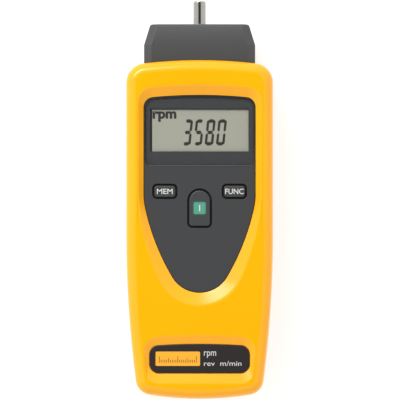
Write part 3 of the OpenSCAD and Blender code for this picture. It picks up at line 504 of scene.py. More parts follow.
def second_finish(obj, finish, chosen):
    """Gives the faces that a test picks a finish of their own."""
    obj.data.materials.append(material_of(finish))
    obj.active_material_index = len(obj.data.materials) - 1
    select_only(obj)
    bpy.ops.object.mode_set(mode="EDIT")
    bpy.ops.mesh.select_all(action="DESELECT")
    for face in edit_mesh().faces:
        face.select = chosen(face)
    show_edit()
    bpy.ops.object.material_slot_assign()
    bpy.ops.object.mode_set(mode="OBJECT")


def finished_copy(node, name, finish, edge_mm=0.0, segments=2, angle=SMOOTH_ANGLE, change=None):
    """A copy of a solid: points merged, changed if asked, sharp edges broken and rounds smoothed."""
    obj = bpy.data.objects.new(name, frame["nodes"][node].data.copy())
    bpy.context.scene.collection.objects.link(obj)
    select_only(obj)
    bpy.ops.mesh.customdata_custom_splitnormals_clear()
    bpy.ops.object.mode_set(mode="EDIT")
    bpy.ops.mesh.select_all(action="SELECT")
    bpy.ops.mesh.remove_doubles(threshold=MERGE)
    bpy.ops.mesh.dissolve_limited(angle_limit=FLAT)
    bpy.ops.object.mode_set(mode="OBJECT")
    if change:
        change(obj)
    if edge_mm:
        bpy.ops.object.shade_smooth_by_angle(angle=math.radians(angle))
        apply_modifier(
            obj, "BEVEL", width=edge_mm * MM, segments=segments, limit_method="ANGLE",
            angle_limit=math.radians(EDGE_TURN * angle), use_clamp_overlap=True, harden_normals=True,
        )
    else:
        smooth(obj, angle)
    return dress(obj, node, finish)


def finish_all(*rows):
    """Finishes copies of solids: node, piece, finish and the width of a broken edge in millimetres."""
    for row in rows:
        finished_copy(*row)


# Materials

# Share of the light on it that the light table sends back
TABLE_SHEET = 0.45
# Lengths in millimetres over which a moulding's tone, printing ink, the light table and clear plastic vary
DRIFT_MM, SPECK_MM, TABLE_MM, HAZE_MM = 38, 0.6, 400, 9
# Darker tone of printing ink, the light table and tool lines, as a share of the tone
INK_SHADE, TABLE_SHADE, LINE_SHADE = 0.86, 0.985, 0.8
# How far a moulding's roughness swings with its grain, and how much of the grain's depth shows
GLOSS_SWING, GRAIN_STRENGTH = 0.05, 0.6
# Least and greatest roughness along a metal's tool lines, as shares of its roughness
LINE_GLOSS = (0.7, 1.4)
# Least and greatest roughness of clear plastic, and its share of mirrored light at a full slant
HAZE, SLANT_MIRROR = (0.02, 0.1), 0.3
# Period of the wave texture at a scale of 1
WAVE_PERIOD = math.tau / 20


def add_node(tree, kind, settings=None, inputs=None):
    """Adds a node with its settings; an input is a value or another node's output."""
    node = tree.nodes.new(kind)
    for key, value in (settings or {}).items():
        setattr(node, key, value)
    for key, value in (inputs or {}).items():
        if isinstance(value, bpy.types.NodeSocket):
            tree.links.new(value, node.inputs[key])
        else:
            node.inputs[key].default_value = value
    return node


def new_material(name):
    """A material with a Principled shader, its tree and the Object coordinates."""
    material = bpy.data.materials.new(name)
    material.use_nodes = True
    tree = material.node_tree
    shader = tree.nodes["Principled BSDF"]
    place = add_node(tree, "ShaderNodeTexCoord").outputs["Object"]
    return material, tree, shader, place


def per_mm(size_mm):
    """Texture scale for a feature of this size."""
    return 1 / (size_mm * MM)


def rgba(value):
    return (*value[:3], 1.0)


def link(tree, output, shader, socket):
    tree.links.new(output, shader.inputs[socket])


def mottle(tree, shader, place, tone, other, size_mm, detail=2.0):
    """Lets the colour wander between two tones over a length, and gives the pattern that it follows."""
    pattern = add_node(
        tree, "ShaderNodeTexNoise", inputs={"Vector": place, "Scale": per_mm(size_mm), "Detail": detail}
    ).outputs["Fac"]
    tint = add_node(
        tree, "ShaderNodeMix", {"data_type": "RGBA"}, {"Factor": pattern, "A": rgba(tone), "B": rgba(other)}
    )
    link(tree, tint.outputs["Result"], shader, "Base Color")
    return pattern


def moulded(name, tone, deep, roughness, grain_mm, grain_depth_mm, gloss_level=0.5):
    """Moulded plastic: a fine spark-eroded grain breaks up the gloss, and the tone drifts over the piece."""
    material, tree, shader, place = new_material(name)
    mottle(tree, shader, place, tone, deep, DRIFT_MM)
    grain = add_node(
        tree, "ShaderNodeTexNoise", inputs={"Vector": place, "Scale": per_mm(grain_mm), "Detail": 3.0}
    ).outputs["Fac"]
    gloss = add_node(
        tree, "ShaderNodeMapRange",
        inputs={"Value": grain, "To Min": roughness - GLOSS_SWING, "To Max": roughness + GLOSS_SWING},
    )
    link(tree, gloss.outputs["Result"], shader, "Roughness")
    bump = add_node(
        tree, "ShaderNodeBump",
        inputs={"Height": grain, "Distance": grain_depth_mm * MM, "Strength": GRAIN_STRENGTH},
    )
    link(tree, bump.outputs["Normal"], shader, "Normal")
    shader.inputs["Specular IOR Level"].default_value = gloss_level
    return material


def printed(name, tone, roughness):
    """Printing ink: a matt film whose pigment is a touch uneven, so that it doesn't look cut from paper."""
    material, tree, shader, place = new_material(name)
    mottle(tree, shader, place, tone, shade(tone, INK_SHADE), SPECK_MM)
    shader.inputs["Roughness"].default_value = roughness
    return material


def plain_floor(name, tone, glow):
    """Light table: a pale, matt and glowing sheet that shows little of the shadows and colours on it."""
    material, tree, shader, place = new_material(name)
    sheet = shade(tone, TABLE_SHEET)
    mottle(tree, shader, place, sheet, shade(sheet, TABLE_SHADE), TABLE_MM, 1.0)
    shader.inputs["Roughness"].default_value = 0.9
    shader.inputs["Specular IOR Level"].default_value = 0.1
    shader.inputs["Emission Color"].default_value = rgba(tone)
    shader.inputs["Emission Strength"].default_value = glow
    return material


def metal(name, tone, roughness, line_mm, stretch):
    """Bare or plated metal: fine tool lines across the turned or rolled direction spread the highlights."""
    material, tree, shader, place = new_material(name)
    along = add_node(tree, "ShaderNodeMapping", inputs={"Vector": place, "Scale": stretch}).outputs["Vector"]
    lines = mottle(tree, shader, along, tone, shade(tone, LINE_SHADE), line_mm, 3.0)
    low, high = LINE_GLOSS
    gloss = add_node(
        tree, "ShaderNodeMapRange",
        inputs={"Value": lines, "To Min": roughness * low, "To Max": roughness * high},
    )
    link(tree, gloss.outputs["Result"], shader, "Roughness")
    shader.inputs["Metallic"].default_value = 1.0
    return material


def clear(name, tint, gloss):
    """Clear plastic: lets light straight through, mirrors a little at a slant and carries a faint haze."""
    material, tree, shader, place = new_material(name)
    tree.nodes.remove(shader)
    haze = add_node(
        tree, "ShaderNodeTexNoise", inputs={"Vector": place, "Scale": per_mm(HAZE_MM), "Detail": 2.0}
    ).outputs["Fac"]
    rough = add_node(
        tree, "ShaderNodeMapRange", inputs={"Value": haze, "To Min": HAZE[0], "To Max": HAZE[1]}
    )
    mirror = add_node(tree, "ShaderNodeBsdfGlossy", inputs={"Roughness": rough.outputs["Result"]})
    through = add_node(tree, "ShaderNodeBsdfTransparent", inputs={"Color": rgba(tint)})
    slant = add_node(tree, "ShaderNodeLayerWeight", inputs={"Blend": 0.5}).outputs["Facing"]
    curve = add_node(tree, "ShaderNodeMath", {"operation": "POWER"}, {0: slant, 1: 4.0})
    share = add_node(
        tree, "ShaderNodeMapRange",
        inputs={"Value": curve.outputs["Value"], "To Min": gloss, "To Max": SLANT_MIRROR},
    )
    mix = add_node(
        tree, "ShaderNodeMixShader",
        inputs={0: share.outputs["Result"], 1: through.outputs["BSDF"], 2: mirror.outputs["BSDF"]},
    )
    tree.links.new(mix.outputs["Shader"], tree.nodes["Material Output"].inputs["Surface"])
    return material


def banded(name, tone, other, pitch_mm, roughness):
    """Layers or tracks side by side along X: soft stripes, one pair in each pitch."""
    material, tree, shader, place = new_material(name)
    scale = WAVE_PERIOD * per_mm(pitch_mm)
    bands = add_node(
        tree, "ShaderNodeTexWave", {"bands_direction": "X"},
        {"Vector": place, "Scale": scale, "Distortion": 1.5, "Detail": 2.0, "Detail Scale": 2.0},
    )
    tint = add_node(
        tree, "ShaderNodeMix", {"data_type": "RGBA"},
        {"Factor": bands.outputs["Fac"], "A": rgba(tone), "B": rgba(other)},
    )
    link(tree, tint.outputs["Result"], shader, "Base Color")
    shader.inputs["Roughness"].default_value = roughness
    return material


# Every finish by name, with what it gives the eye. The numbers of a moulding are its roughness, the size and
# depth of its grain in millimetres and its specular level; those of a metal are its roughness, the width of
# its tool lines in millimetres and how they stretch. Grain, tool lines, specks and stripes are drawn coarser
# than the real ones so that they show.
FINISHES = {
    # Glossy injection-moulded ABS: strong, even colour, with soft white lights along every rounded edge
    "yellow_moulded_abs": lambda name, c: moulded(name, c.case, c.case_deep, 0.23, 0.9, 0.002, 0.4),
    # Spark-eroded ABS: a dull dark plate that leaves the display the brightest thing on the face
    "grey_moulded_abs": lambda name, c: moulded(name, c.fascia, shade(c.fascia, 0.85), 0.55, 0.8, 0.012),
    # ABS from a finer mould: caps a touch smoother than the plate around them
    "key_moulded_abs": lambda name, c: moulded(name, c.keys, shade(c.keys, 0.85), 0.5, 0.7, 0.008),
    # Grained ABS: a plain dull block whose shape shows by its tapers alone
    "adapter_moulded_abs": lambda name, c: moulded(name, c.adapter, shade(c.adapter, 0.88), 0.5, 0.8, 0.012),
    # Black ABS: deep, dull black on the optical head and the other black parts, and painted shade in the gaps
    # around the fascia and the keys
    "black_moulded_abs": lambda name, c: moulded(
        name, hex_colour("#1E1E1E"), hex_colour("#262626"), 0.55, 0.7, 0.01
    ),
    # ABS shot into the key: one clear green spot with a faint sheen
    "green_inlay": lambda name, c: moulded(name, c.power, shade(c.power, 0.9), 0.5, 0.6, 0.004),
    # Polyester film: smooth and nearly black, with a satin shine
    "badge_film": lambda name, c: moulded(name, c.badge, shade(c.badge, 0.8), 0.4, 0.5, 0.003),
    # Reflective polariser on glass: an even, slightly warm grey with no depth
    "display_polariser": lambda name, c: moulded(name, c.display, shade(c.display, 0.93), 0.45, 0.5, 0.002),
    # Shrunk PVC film: smooth blue with a clear light along the cell
    "cell_film": lambda name, c: moulded(
        name, hex_colour("#3B6E8F"), hex_colour("#33617E"), 0.3, 1.2, 0.004
    ),
    # Dark liquid crystal: flat, nearly black figures
    "segment_ink": lambda name, c: printed(name, c.segments, 0.6),
    # Pad-printed ink: dull, off-white letters
    "legend_ink": lambda name, c: printed(name, c.legends, 0.6),
    # Deep green ink: a dark line that sets off the inlay
    "dark_green_ink": lambda name, c: printed(name, shade(c.power, 0.25), 0.6),
    # Black screen ink: a mask that swallows light; on the display glass and the rim of the lens it is also
    # painted shade
    "black_ink": lambda name, c: printed(name, hex_colour("#141414"), 0.6),
    # Amber screen ink: an opaque, warm field
    "amber_ink": lambda name, c: printed(name, c.accent, 0.5),
    # Cast acrylic: clear, with a faint gleam at a slant
    "clear_acrylic": lambda name, c: clear(name, hex_colour("#FDFEFE"), 0.02),
    # Sawn acrylic: a frosted edge that looks pale, and a painted highlight for the line of light along the
    # lens's lower edge
    "sawn_acrylic": lambda name, c: printed(name, hex_colour("#6C7072"), 0.6),
    # Dyed acrylic: clear and deep red
    "red_filter": lambda name, c: clear(name, hex_colour("#C4453F"), 0.05),
    # Polished steel: sharp bright and dark stripes along the shaft
    "polished_steel": lambda name, c: metal(name, hex_colour("#ADABA5"), 0.1, 0.9, (0.2, 1, 0.2)),
    # Ground steel: bright, with a fine brushed gleam
    "ground_steel": lambda name, c: metal(name, hex_colour("#D4D6D8"), 0.15, 0.6, (0.3, 1, 0.3)),
    # Zinc plate: pale grey and softly mirrored
    "zinc_plated_steel": lambda name, c: metal(name, hex_colour("#B9BCBE"), 0.3, 0.5, (1, 1, 1)),
    # Turned aluminium: light grey with rings of tool lines
    "turned_aluminium": lambda name, c: metal(name, hex_colour("#9DA1A4"), 0.3, 0.5, (0.3, 1, 0.3)),
    # Rolled brass: warm yellow with lines along the strip
    "stamped_brass": lambda name, c: metal(name, hex_colour("#C9A227"), 0.25, 0.8, (1, 0.2, 1)),
    # Layered elastomer: dull stripes of plain and carbon-filled rubber
    "zebra_elastomer": lambda name, c: banded(name, hex_colour("#8C5A6B"), hex_colour("#2A2024"), 3.14, 0.7),
    # Solder mask: glossy green, lighter where copper lies under it
    "solder_mask": lambda name, c: banded(name, hex_colour("#2F6B45"), hex_colour("#275A3A"), 12.57, 0.35),
}


def material_of(name):
    """The finish of this name, made when it is first asked for."""
    return bpy.data.materials.get(name) or FINISHES[name](name, bpy.context.scene.tach_colours)


# Pieces

def prism_along_y(name, section, y0, y1):
    """A solid with a section given as X, Z points, from y0 to y1."""
    return loft(name, [[Vector((x, y, z)) for x, z in section] for y in (y0, y1)])


def prism_along_z(name, points, z0, z1):
    return loft(name, [lift(points, z0), lift(points, z1)])


def nose_section(shape, grow, low_z):
    """Section of the adapter grown by a gap, down to a height."""
    half_w = NOSE_HIGH.x + grow
    inner_w = NOSE_HIGH.x - shape.nose_bevel
    top = NOSE_HIGH.z + grow
    inner_top = NOSE_HIGH.z - shape.nose_bevel
    right = [(inner_w, top), (half_w, inner_top), (half_w, low_z)]
    return [(-x, z) for x, z in reversed(right)] + right


def rounded_rect(low, high, radius, steps=6):
    """Outline of a rectangle with one corner radius, clockwise."""
    points = []
    corners = [
        (high.x - radius, high.y - radius, 90), (high.x - radius, low.y + radius, 0),
        (low.x + radius, low.y + radius, -90), (low.x + radius, high.y - radius, 180),
    ]
    for x, y, start in corners:
        for i in range(steps + 1):
            points.append(Vector((x, y)) + radius * direction(math.radians(start - 90 * i / steps)))
    return points


def key_outline(node, shape, grow):
    """Plan of a key, grown by a width: a round top on the power key, round corners on the others."""
    low, high = node_box(node)
    move = shape.gap + shape.flange - grow
    low = Vector((low.x + move, low.y + move))
    high = Vector((high.x - move, high.y - move))
    if node != "power_button":
        return rounded_rect(low, high, shape.corner + grow)
    radius = (high.x - low.x) / 2
    corner = shape.corner + grow
    top = Vector((0, high.y - radius))
    foot = Vector((high.x - corner, low.y + corner))
    return outline([(top, radius, UP, RIGHT, CORNER_STEPS), (foot, corner, RIGHT, DOWN, CORNER_STEPS)])


def joined(name, pieces):
    bpy.ops.object.select_all(action="DESELECT")
    for piece in pieces:
        piece.select_set(True)
    bpy.context.view_layer.objects.active = pieces[0]
    bpy.ops.object.join()
    pieces[0].name = name
    return pieces[0]


def lettering(name, text, low, high, weight):
    """Raised lettering that fills a box; weight thickens its strokes."""
    bpy.ops.object.select_all(action="DESELECT")
    bpy.ops.object.text_add()
    obj = bpy.context.object
    obj.name = name
    obj.data.body = text
    obj.data.offset = weight
    # Any depth will do, as the box sets it
    obj.data.extrude = 0.1
    bpy.ops.object.convert(target="MESH")
    corners = [Vector(corner) for corner in obj.bound_box]
    first, last = corners[0], corners[6]
    scale = [(b - a) / (d - c) for a, b, c, d in zip(low, high, first, last)]
    obj.data.transform(Matrix.Translation(low) @ Matrix.Diagonal((*scale, 1)) @ Matrix.Translation(-first))
    return obj


# Middle of the key light and width of the floor, in metres
KEY_PLACE, FLOOR_SIZE = Vector((-0.5, 0.83, 0.75)), 6.0
# The floor lies this far under the part, so that the two share no face
FLOOR_DROP = 0.05 * MM
# Heights on the unit sphere between which the tent turns into its dark ceiling
TENT_END, CEILING_START = 0.85, 0.966


class TACH_OT_stage(bpy.types.Operator):
    """Sets the floor, the lights and the camera"""

    bl_idname = "tach.stage"
    bl_label = "Stage"

    def execute(self, context):
        scene = context.scene
        stage = scene.tach_stage
        focus = Vector((stage.centre_x, stage.centre_y, stage.focus_z))

        bpy.ops.object.select_all(action="DESELECT")
        bpy.ops.mesh.primitive_plane_add(size=FLOOR_SIZE, location=(0, 0, -FLOOR_DROP))
        floor = context.object
        floor.name = "studio_floor"
        floor.data.materials.append(plain_floor("light_table", scene.tach_colours.floor, stage.table_glow))

        bpy.ops.object.camera_add(location=focus + Vector((0, 0, stage.distance)))
        camera = context.object
        camera.name = "photo_camera"
        camera.data.lens = camera.data.sensor_width * stage.distance / stage.field
        scene.camera = camera

        self.key_light(stage)
        self.light_tent(scene, stage)
        scene.view_settings.view_transform = "Standard"
        return {"FINISHED"}

    def light_tent(self, scene, stage):
        """Even light from the sides; the dark ceiling at the camera lets flat faces keep their colour."""
        world = scene.world or bpy.data.worlds.new("studio")
        scene.world = world
        world.use_nodes = True
        tree = world.node_tree
        place = add_node(tree, "ShaderNodeTexCoord").outputs["Generated"]
        height = add_node(tree, "ShaderNodeSeparateXYZ", inputs={"Vector": place}).outputs["Z"]
        level = add_node(
            tree, "ShaderNodeMapRange", {"interpolation_type": "SMOOTHSTEP"},
            {"Value": height, "From Min": TENT_END, "From Max": CEILING_START,
             "To Min": stage.tent, "To Max": stage.ceiling},
        )
        tent = tree.nodes["Background"]
        tent.inputs["Color"].default_value = (1, 1, 1, 1)
        link(tree, level.outputs["Result"], tent, "Strength")

    def key_light(self, stage):
        """A long lamp beyond the upper end, turned to the part: it draws a light along the rounded edges."""
        bpy.ops.object.light_add(type="AREA", location=KEY_PLACE)
        lamp = bpy.context.object
        lamp.name = "key_light"
        lamp.data.shape = "RECTANGLE"
        lamp.data.size = stage.key_w
        lamp.data.size_y = stage.key_h
        lamp.data.energy = stage.key_power
        lamp.rotation_euler = (-KEY_PLACE).to_track_quat("-Z", "Y").to_euler()


class TACH_OT_front_case(bpy.types.Operator):
    """Models the front half of the case: rounded edge, dished fascia opening, badge recess and mouth"""

    bl_idname = "tach.front_case"
    bl_label = "Front case"

    def execute(self, context):
        scene = context.scene
        shape = scene.tach_case
        arcs = case_arcs(shape)
        parting = CASE_LOW.z
        top = CASE_HIGH.z
        floor_top = FACE_LOW.z
        ceiling = floor_top - shape.floor_t
        quarter = [UP * i / ROUND_STEPS for i in range(ROUND_STEPS + 1)]

        open_piece("front_case", lift(outline(arcs, shape.seam), parting))
        extrude_to(lift(outline(arcs), parting + shape.seam))
        for turn in quarter:
            inset = shape.draft + shape.edge * (1 - math.cos(turn))
            extrude_to(lift(outline(arcs, inset), top - shape.edge + shape.edge * math.sin(turn)))

        face = outline(shield_arcs(shape, 0, 0, 0))
        dish = outline(shield_arcs(shape, shape.dish_side, shape.dish_top, shape.dish_bottom))
        self.recess(face, dish, FACE_HIGH.z, floor_top)
        plate = outline(badge_arcs(shape, 0, 0, 0))
        slope = outline(badge_arcs(shape, shape.badge_side, shape.badge_top, shape.badge_bottom))
        self.recess(plate, slope, BADGE_HIGH.z, BADGE_LOW.z)
        select_level(top)
        bpy.ops.mesh.fill(use_beauty=True)

        select_level(parting)
        inner = outline(arcs, shape.wall)
        extrude_to(lift(inner, parting))
        extrude_to(lift(inner, ceiling))
        close_ring()
        case = close_piece()

        # The sleeve around the adapter ends inside the end of the case
        lip = shape.mouth_gap
        back = NOSE_LOW.y
        sleeve_end = CASE_HIGH.y - 1.5 * shape.wall
        sleeve = prism_along_y("sleeve", nose_section(shape, lip + shape.floor_t, parting), back, sleeve_end)
        apply_modifier(case, "BOOLEAN", operation="UNION", solver="EXACT", object=sleeve)
        bpy.data.objects.remove(sleeve)
        mouth = nose_section(shape, lip, parting - shape.wall)
        cut(case, prism_along_y("mouth", mouth, back - lip, CASE_HIGH.y + shape.wall))
        window = rounded_rect(LCD_LOW, LCD_HIGH, shape.seam)
        cut(case, prism_along_z("window", window, ceiling - shape.wall, floor_top + shape.face_gap))
        for node in ("memory_button", "power_button", "function_button"):
            way = key_outline(node, scene.tach_keys, scene.tach_keys.way)
            cut(case, prism_along_z("key_way", way, ceiling - shape.wall, floor_top + shape.face_gap))
        smooth(case)
        dress(case, "front_shell", "yellow_moulded_abs")
        # The faces in the gap around the fascia are painted black: painted shade that keeps the gap dark
        gap = 2 * shape.face_gap
        gap_shade_low = FACE_LOW - Vector((gap, gap, gap))
        gap_shade_high = FACE_HIGH + Vector((gap, gap, -gap))

        def in_shaded_gap(face):
            return all(a < b < c for a, b, c in zip(gap_shade_low, face.calc_center_median(), gap_shade_high))

        second_finish(case, "black_moulded_abs", in_shaded_gap)
        return {"FINISHED"}

    def recess(self, low, high, low_z, floor_z):
        """A recess with a softened rim that slopes down, drops to its floor and is closed there."""
        rim = CASE_HIGH.z
        drop = RIM_SHARE * (rim - low_z)
        add_ring(lift(blend_rings(low, high, 1 + RIM_SHARE), rim))
        for i in range(1, RIM_STEPS + 1):
            turn = i / RIM_STEPS
            share = 1 + RIM_SHARE - 2 * RIM_SHARE * turn
            extrude_to(lift(blend_rings(low, high, share), rim - drop * turn * turn))
        extrude_to(lift(low, low_z))
        extrude_to(lift(low, floor_z))
        close_ring()


class TACH_OT_rear_case(bpy.types.Operator):
    """Finishes the back half of the case and the screws that hold it"""

    bl_idname = "tach.rear_case"
    bl_label = "Rear case"

    def execute(self, context):
        finished_copy("rear_shell", "rear_case", "yellow_moulded_abs", 0.3, change=self.trim)
        finished_copy("case_screws", "case_screw_set", "zinc_plated_steel", 0.15)
        return {"FINISHED"}

    def trim(self, shell):
        """Takes off the corners of the adapter's socket that stand out of the end of the case."""
        shape = bpy.context.scene.tach_case
        arcs = case_arcs(shape)
        parting = CASE_LOW.z
        slack = 0.03 * MM
        levels = (
            (shape.draft, 0), (0, parting - shape.seam),
            (shape.seam, parting), (shape.seam, parting + shape.wall),
        )
        form = loft("form", [lift(outline(arcs, inset - slack), z) for inset, z in levels])
        reach = Vector((NOSE_HIGH.x + shape.top_corner, CASE_HIGH.y + shape.wall))
        near = Vector((-reach.x, CASE_HIGH.y - shape.top_corner))
        plan = rounded_rect(near, reach, shape.wall)
        waste = prism_along_z("waste", plan, shape.wall, parting + shape.seam)
        cut(waste, form)
        cut(shell, waste)
        # The cut leaves slivers beside the socket, which are merged away
        select_only(shell)
        bpy.ops.object.mode_set(mode="EDIT")
        bpy.ops.mesh.select_all(action="DESELECT")
        side, end = NOSE_HIGH.x - shape.wall, CASE_HIGH.y - shape.wall
        mesh = edit_mesh()
        for vert in mesh.verts:
            vert.select = vert.co.y > end and abs(vert.co.x) > side
        show_edit()
        bpy.ops.mesh.remove_doubles(threshold=4 * slack)
        bpy.ops.object.mode_set(mode="OBJECT")


class TACH_OT_battery_door(bpy.types.Operator):
    """Finishes the sliding battery cover"""

    bl_idname = "tach.battery_door"
    bl_label = "Battery cover"

    def execute(self, context):
        finished_copy("battery_cover", "battery_door", "yellow_moulded_abs", 0.2)
        return {"FINISHED"}


# The lens stands this far off the fascia, so that the two share no face
LENS_LIFT = 0.05 * MM
# A face of the lens that looks up by less than this is its rim, and one that looks down the case by more
# than this is its lower edge
RIM_FACING, FOOT_FACING = 0.9, 0.3


class TACH_OT_fascia(bpy.types.Operator):
    """Finishes the fascia and the clear lens over its display end"""

    bl_idname = "tach.fascia"
    bl_label = "Fascia and lens"

    def execute(self, context):
        finished_copy("fascia", "fascia_plate", "grey_moulded_abs", 0.12)
        lens = finished_copy("display_lens", "clear_lens", "clear_acrylic", 0.2)
        select_only(lens)
        bpy.ops.object.mode_set(mode="EDIT")
        select_level(node_box("display_lens")[0].z)
        bpy.ops.transform.translate(value=(0, 0, LENS_LIFT))
        bpy.ops.object.mode_set(mode="OBJECT")
        # The rim of the lens is printed black, which also stands as painted shade around the lens, and its
        # sawn lower edge is painted pale as a painted highlight along that edge
        second_finish(lens, "black_ink", lambda face: abs(face.normal.z) < RIM_FACING)
        second_finish(lens, "sawn_acrylic", lambda face: face.normal.y < -FOOT_FACING)
        return {"FINISHED"}


# Lit segments of each digit: a is the top bar, then clockwise, g is the middle bar
LIT = {
    "0": "abcdef", "1": "bc", "2": "abdeg", "3": "abcdg", "4": "bcfg",
    "5": "acdfg", "6": "acdefg", "7": "abc", "8": "abcdefg", "9": "abcdfg",
}
# Where the tip of a segment stands and where its slopes start, as shares of a stem's width
TIP_SHARE, TURN_SHARE = 0.6, 0.9
# Length of a level segment's tip, as a share of its width, and room left at the tips of an upright one
POINT_SHARE, TIP_ROOM = 1 / 3, 0.25 * MM
# Added width of the strokes of the unit and of the keys' legends, as a share of the letters' size
UNIT_WEIGHT, LEGEND_WEIGHT = 0.042, 0.012


class TACH_OT_display(bpy.types.Operator):
    """Models the reading and the unit on the display glass, and finishes the glass and its connectors"""

    bl_idname = "tach.display"
    bl_label = "Display"

    def execute(self, context):
        show = context.scene.tach_display
        finished_copy("lcd_panel", "display_glass", "display_polariser", 0.1)
        finished_copy("lcd_connectors", "zebra_strips", "zebra_elastomer")
        self.digits(show)
        low = Vector((show.unit_x, LCD_LOW.y + show.unit_y, LCD_HIGH.z))
        high = low + Vector((show.unit_w, show.unit_h, INK))
        unit = lettering("display_unit", show.unit, low, high, UNIT_WEIGHT)
        print_piece(unit, "lcd_panel", "segment_ink")
        self.border(show)
        return {"FINISHED"}

    def digits(self, show):
        """The reading, with a slanted bar for each lit segment."""
        z = LCD_HIGH.z
        foot = LCD_LOW.y + show.digit_y
        bars = []
        for i, digit in enumerate(show.reading):
            left = show.digit_x + i * show.digit_pitch
            for part in LIT[digit]:
                ring = []
                for x, y in self.segment(part, show):
                    ring.append(Vector((left + x + y * math.tan(show.slant), foot + y)))
                bars.append(prism_along_z("segment", ring, z, z + INK))
        digits = joined("display_digits", bars)
        apply_modifier(
            digits, "BEVEL", width=show.corner, segments=2, limit_method="ANGLE", affect="VERTICES"
        )
        print_piece(digits, "lcd_panel", "segment_ink")

    def segment(self, part, show):
        """Outline of one bar of a digit that stands upright at the origin."""
        w, h, bar, stem = show.digit_w, show.digit_h, show.bar, show.stem
        tip = TIP_SHARE * stem
        if part in "adg":
            y = {"a": h - bar / 2, "d": bar / 2, "g": h / 2}[part]
            low, high = y - bar / 2, y + bar / 2
            left, right = tip + POINT_SHARE * bar, w - tip - POINT_SHARE * bar
            return [(left, high), (right, high), (w - tip, y), (right, low), (left, low), (tip, y)]
        low, high = (0.0, h / 2) if part in "ec" else (h / 2, h)
        turn = TURN_SHARE * stem
        left = [
            (tip, high - TIP_ROOM), (stem, high - turn), (stem, low + turn), (tip, low + TIP_ROOM),
            (0, low + turn), (0, high - turn),
        ]
        return left if part in "ef" else [(w - x, y) for x, y in reversed(left)]

    def border(self, show):
        """Black border printed on the glass at the left, the top and the right of the fascia's window; it is
        wider at the left and the top as a painted shadow of the window's wall.
        """
        z = LCD_HIGH.z
        margin = Vector((show.margin, show.margin, 0))
        low, high = LCD_LOW + margin, LCD_HIGH - margin
        view_low = low + Vector((show.shade_border_left, -show.border, 0))
        view_high = high - Vector((show.border, show.shade_border_top, 0))
        view = rounded_rect(view_low, view_high, PRINT_CORNER, steps=2)
        border = prism_along_z("display_border_and_shadow", rounded_rect(low, high, PRINT_CORNER, steps=2), z, z + INK)
        cut(border, prism_along_z("view", view, z - INK, z + 2 * INK))
        print_piece(border, "lcd_panel", "black_ink")


# Legend of a key, with its width and height in millimetres
LEGENDS = {"memory_button": ("MEM", 6.4, 2.1), "function_button": ("FUNC", 7.5, 2.2)}
KEY_STEPS, KEY_SMOOTH = 6, 40


class TACH_OT_keys(bpy.types.Operator):
    """Models the three keys, the inlay of the power key and the printed legends"""

    bl_idname = "tach.keys"
    bl_label = "Keys"

    def execute(self, context):
        shape = context.scene.tach_keys
        for node in ("memory_button", "function_button", "power_button"):
            self.key(node, shape)
            if node in LEGENDS:
                self.legend(node)
        self.inlay(shape)
        return {"FINISHED"}

    def key(self, node, shape):
        """A cap with a finely rounded top edge on its flange."""
        low, high = node_box(node)
        step = low.z + shape.flange_t
        rings = [lift(key_outline(node, shape, shape.gap + shape.flange), z) for z in (low.z, step)]
        rings.append(lift(key_outline(node, shape, -shape.play), step))
        for i in range(KEY_STEPS + 1):
            turn = UP * i / KEY_STEPS
            inset = shape.play + shape.edge * (1 - math.cos(turn))
            drop = shape.edge * (1 - math.sin(turn))
            rings.append(lift(key_outline(node, shape, -inset), high.z - drop))
        cap = loft(node.replace("button", "key_cap"), rings)
        if node == "power_button":
            mark_low, mark_high = node_box("power_mark")
            pocket = rounded_rect(mark_low, mark_high, shape.mark_corner)
            cut(cap, prism_along_z("pocket", pocket, mark_low.z, high.z + shape.edge))
        smooth(cap, KEY_SMOOTH)
        dress(cap, node, "key_moulded_abs")
        # The flange is painted black as painted shade, so the gap around the cap stays dark
        second_finish(cap, "black_moulded_abs", lambda face: face.calc_center_median().z < step + INK)

    def legend(self, node):
        """Lettering on the middle of a key's top."""
        word, width, height = LEGENDS[node]
        middle = node_middle(node)
        middle.z = node_box(node)[1].z
        half = Vector((width, height, 0)) * MM / 2
        high = middle + half + Vector((0, 0, INK))
        legend = lettering(word.lower() + "_legend", word, middle - half, high, LEGEND_WEIGHT)
        print_piece(legend, node, "legend_ink")

    def inlay(self, shape):
        """Inlay with rounded corners and a soft top edge, its dark border and the bar printed on it."""
        low, high = node_box("power_mark")
        top, corner = high.z, shape.mark_corner
        plan = rounded_rect(low, high, corner)
        inset = Vector((INK, INK, 0))
        rings = [lift(plan, low.z), lift(plan, top - INK)]
        rings.append(lift(rounded_rect(low + inset, high - inset, corner), top))
        mark = loft("power_inlay", rings)
        smooth(mark, KEY_SMOOTH)
        dress(mark, "power_mark", "green_inlay")
        grow = Vector((shape.mark_border, shape.mark_border, 0))
        rim = rounded_rect(low - grow, high + grow, shape.border_corner)
        border = prism_along_z("power_border", rim, top, top + INK)
        cut(border, prism_along_z("hole", plan, low.z, top + MM))
        print_piece(border, "power_mark", "dark_green_ink")
        middle = node_middle("power_mark")
        half = Vector((shape.bar_w, shape.bar_h, 0)) / 2
        sign = rounded_rect(middle - half, middle + half, PRINT_CORNER)
        print_piece(prism_along_z("power_bar", sign, top, top + INK), "power_mark", "legend_ink")


# Number of ticks on the badge, and lengths in millimetres of every tenth, every fifth and every other one
TICKS, TENTH, FIFTH, OTHER = 21, 2.6, 1.9, 1.2
TICK_CORNER = 0.03 * MM
# Lines on the badge: foot and top from the plate's middle, and width, in millimetres
BADGE_LINES = (("rpm", 0.3, 3.0, 4.9), ("rev  m/min", -2.9, -0.9, 15.2))


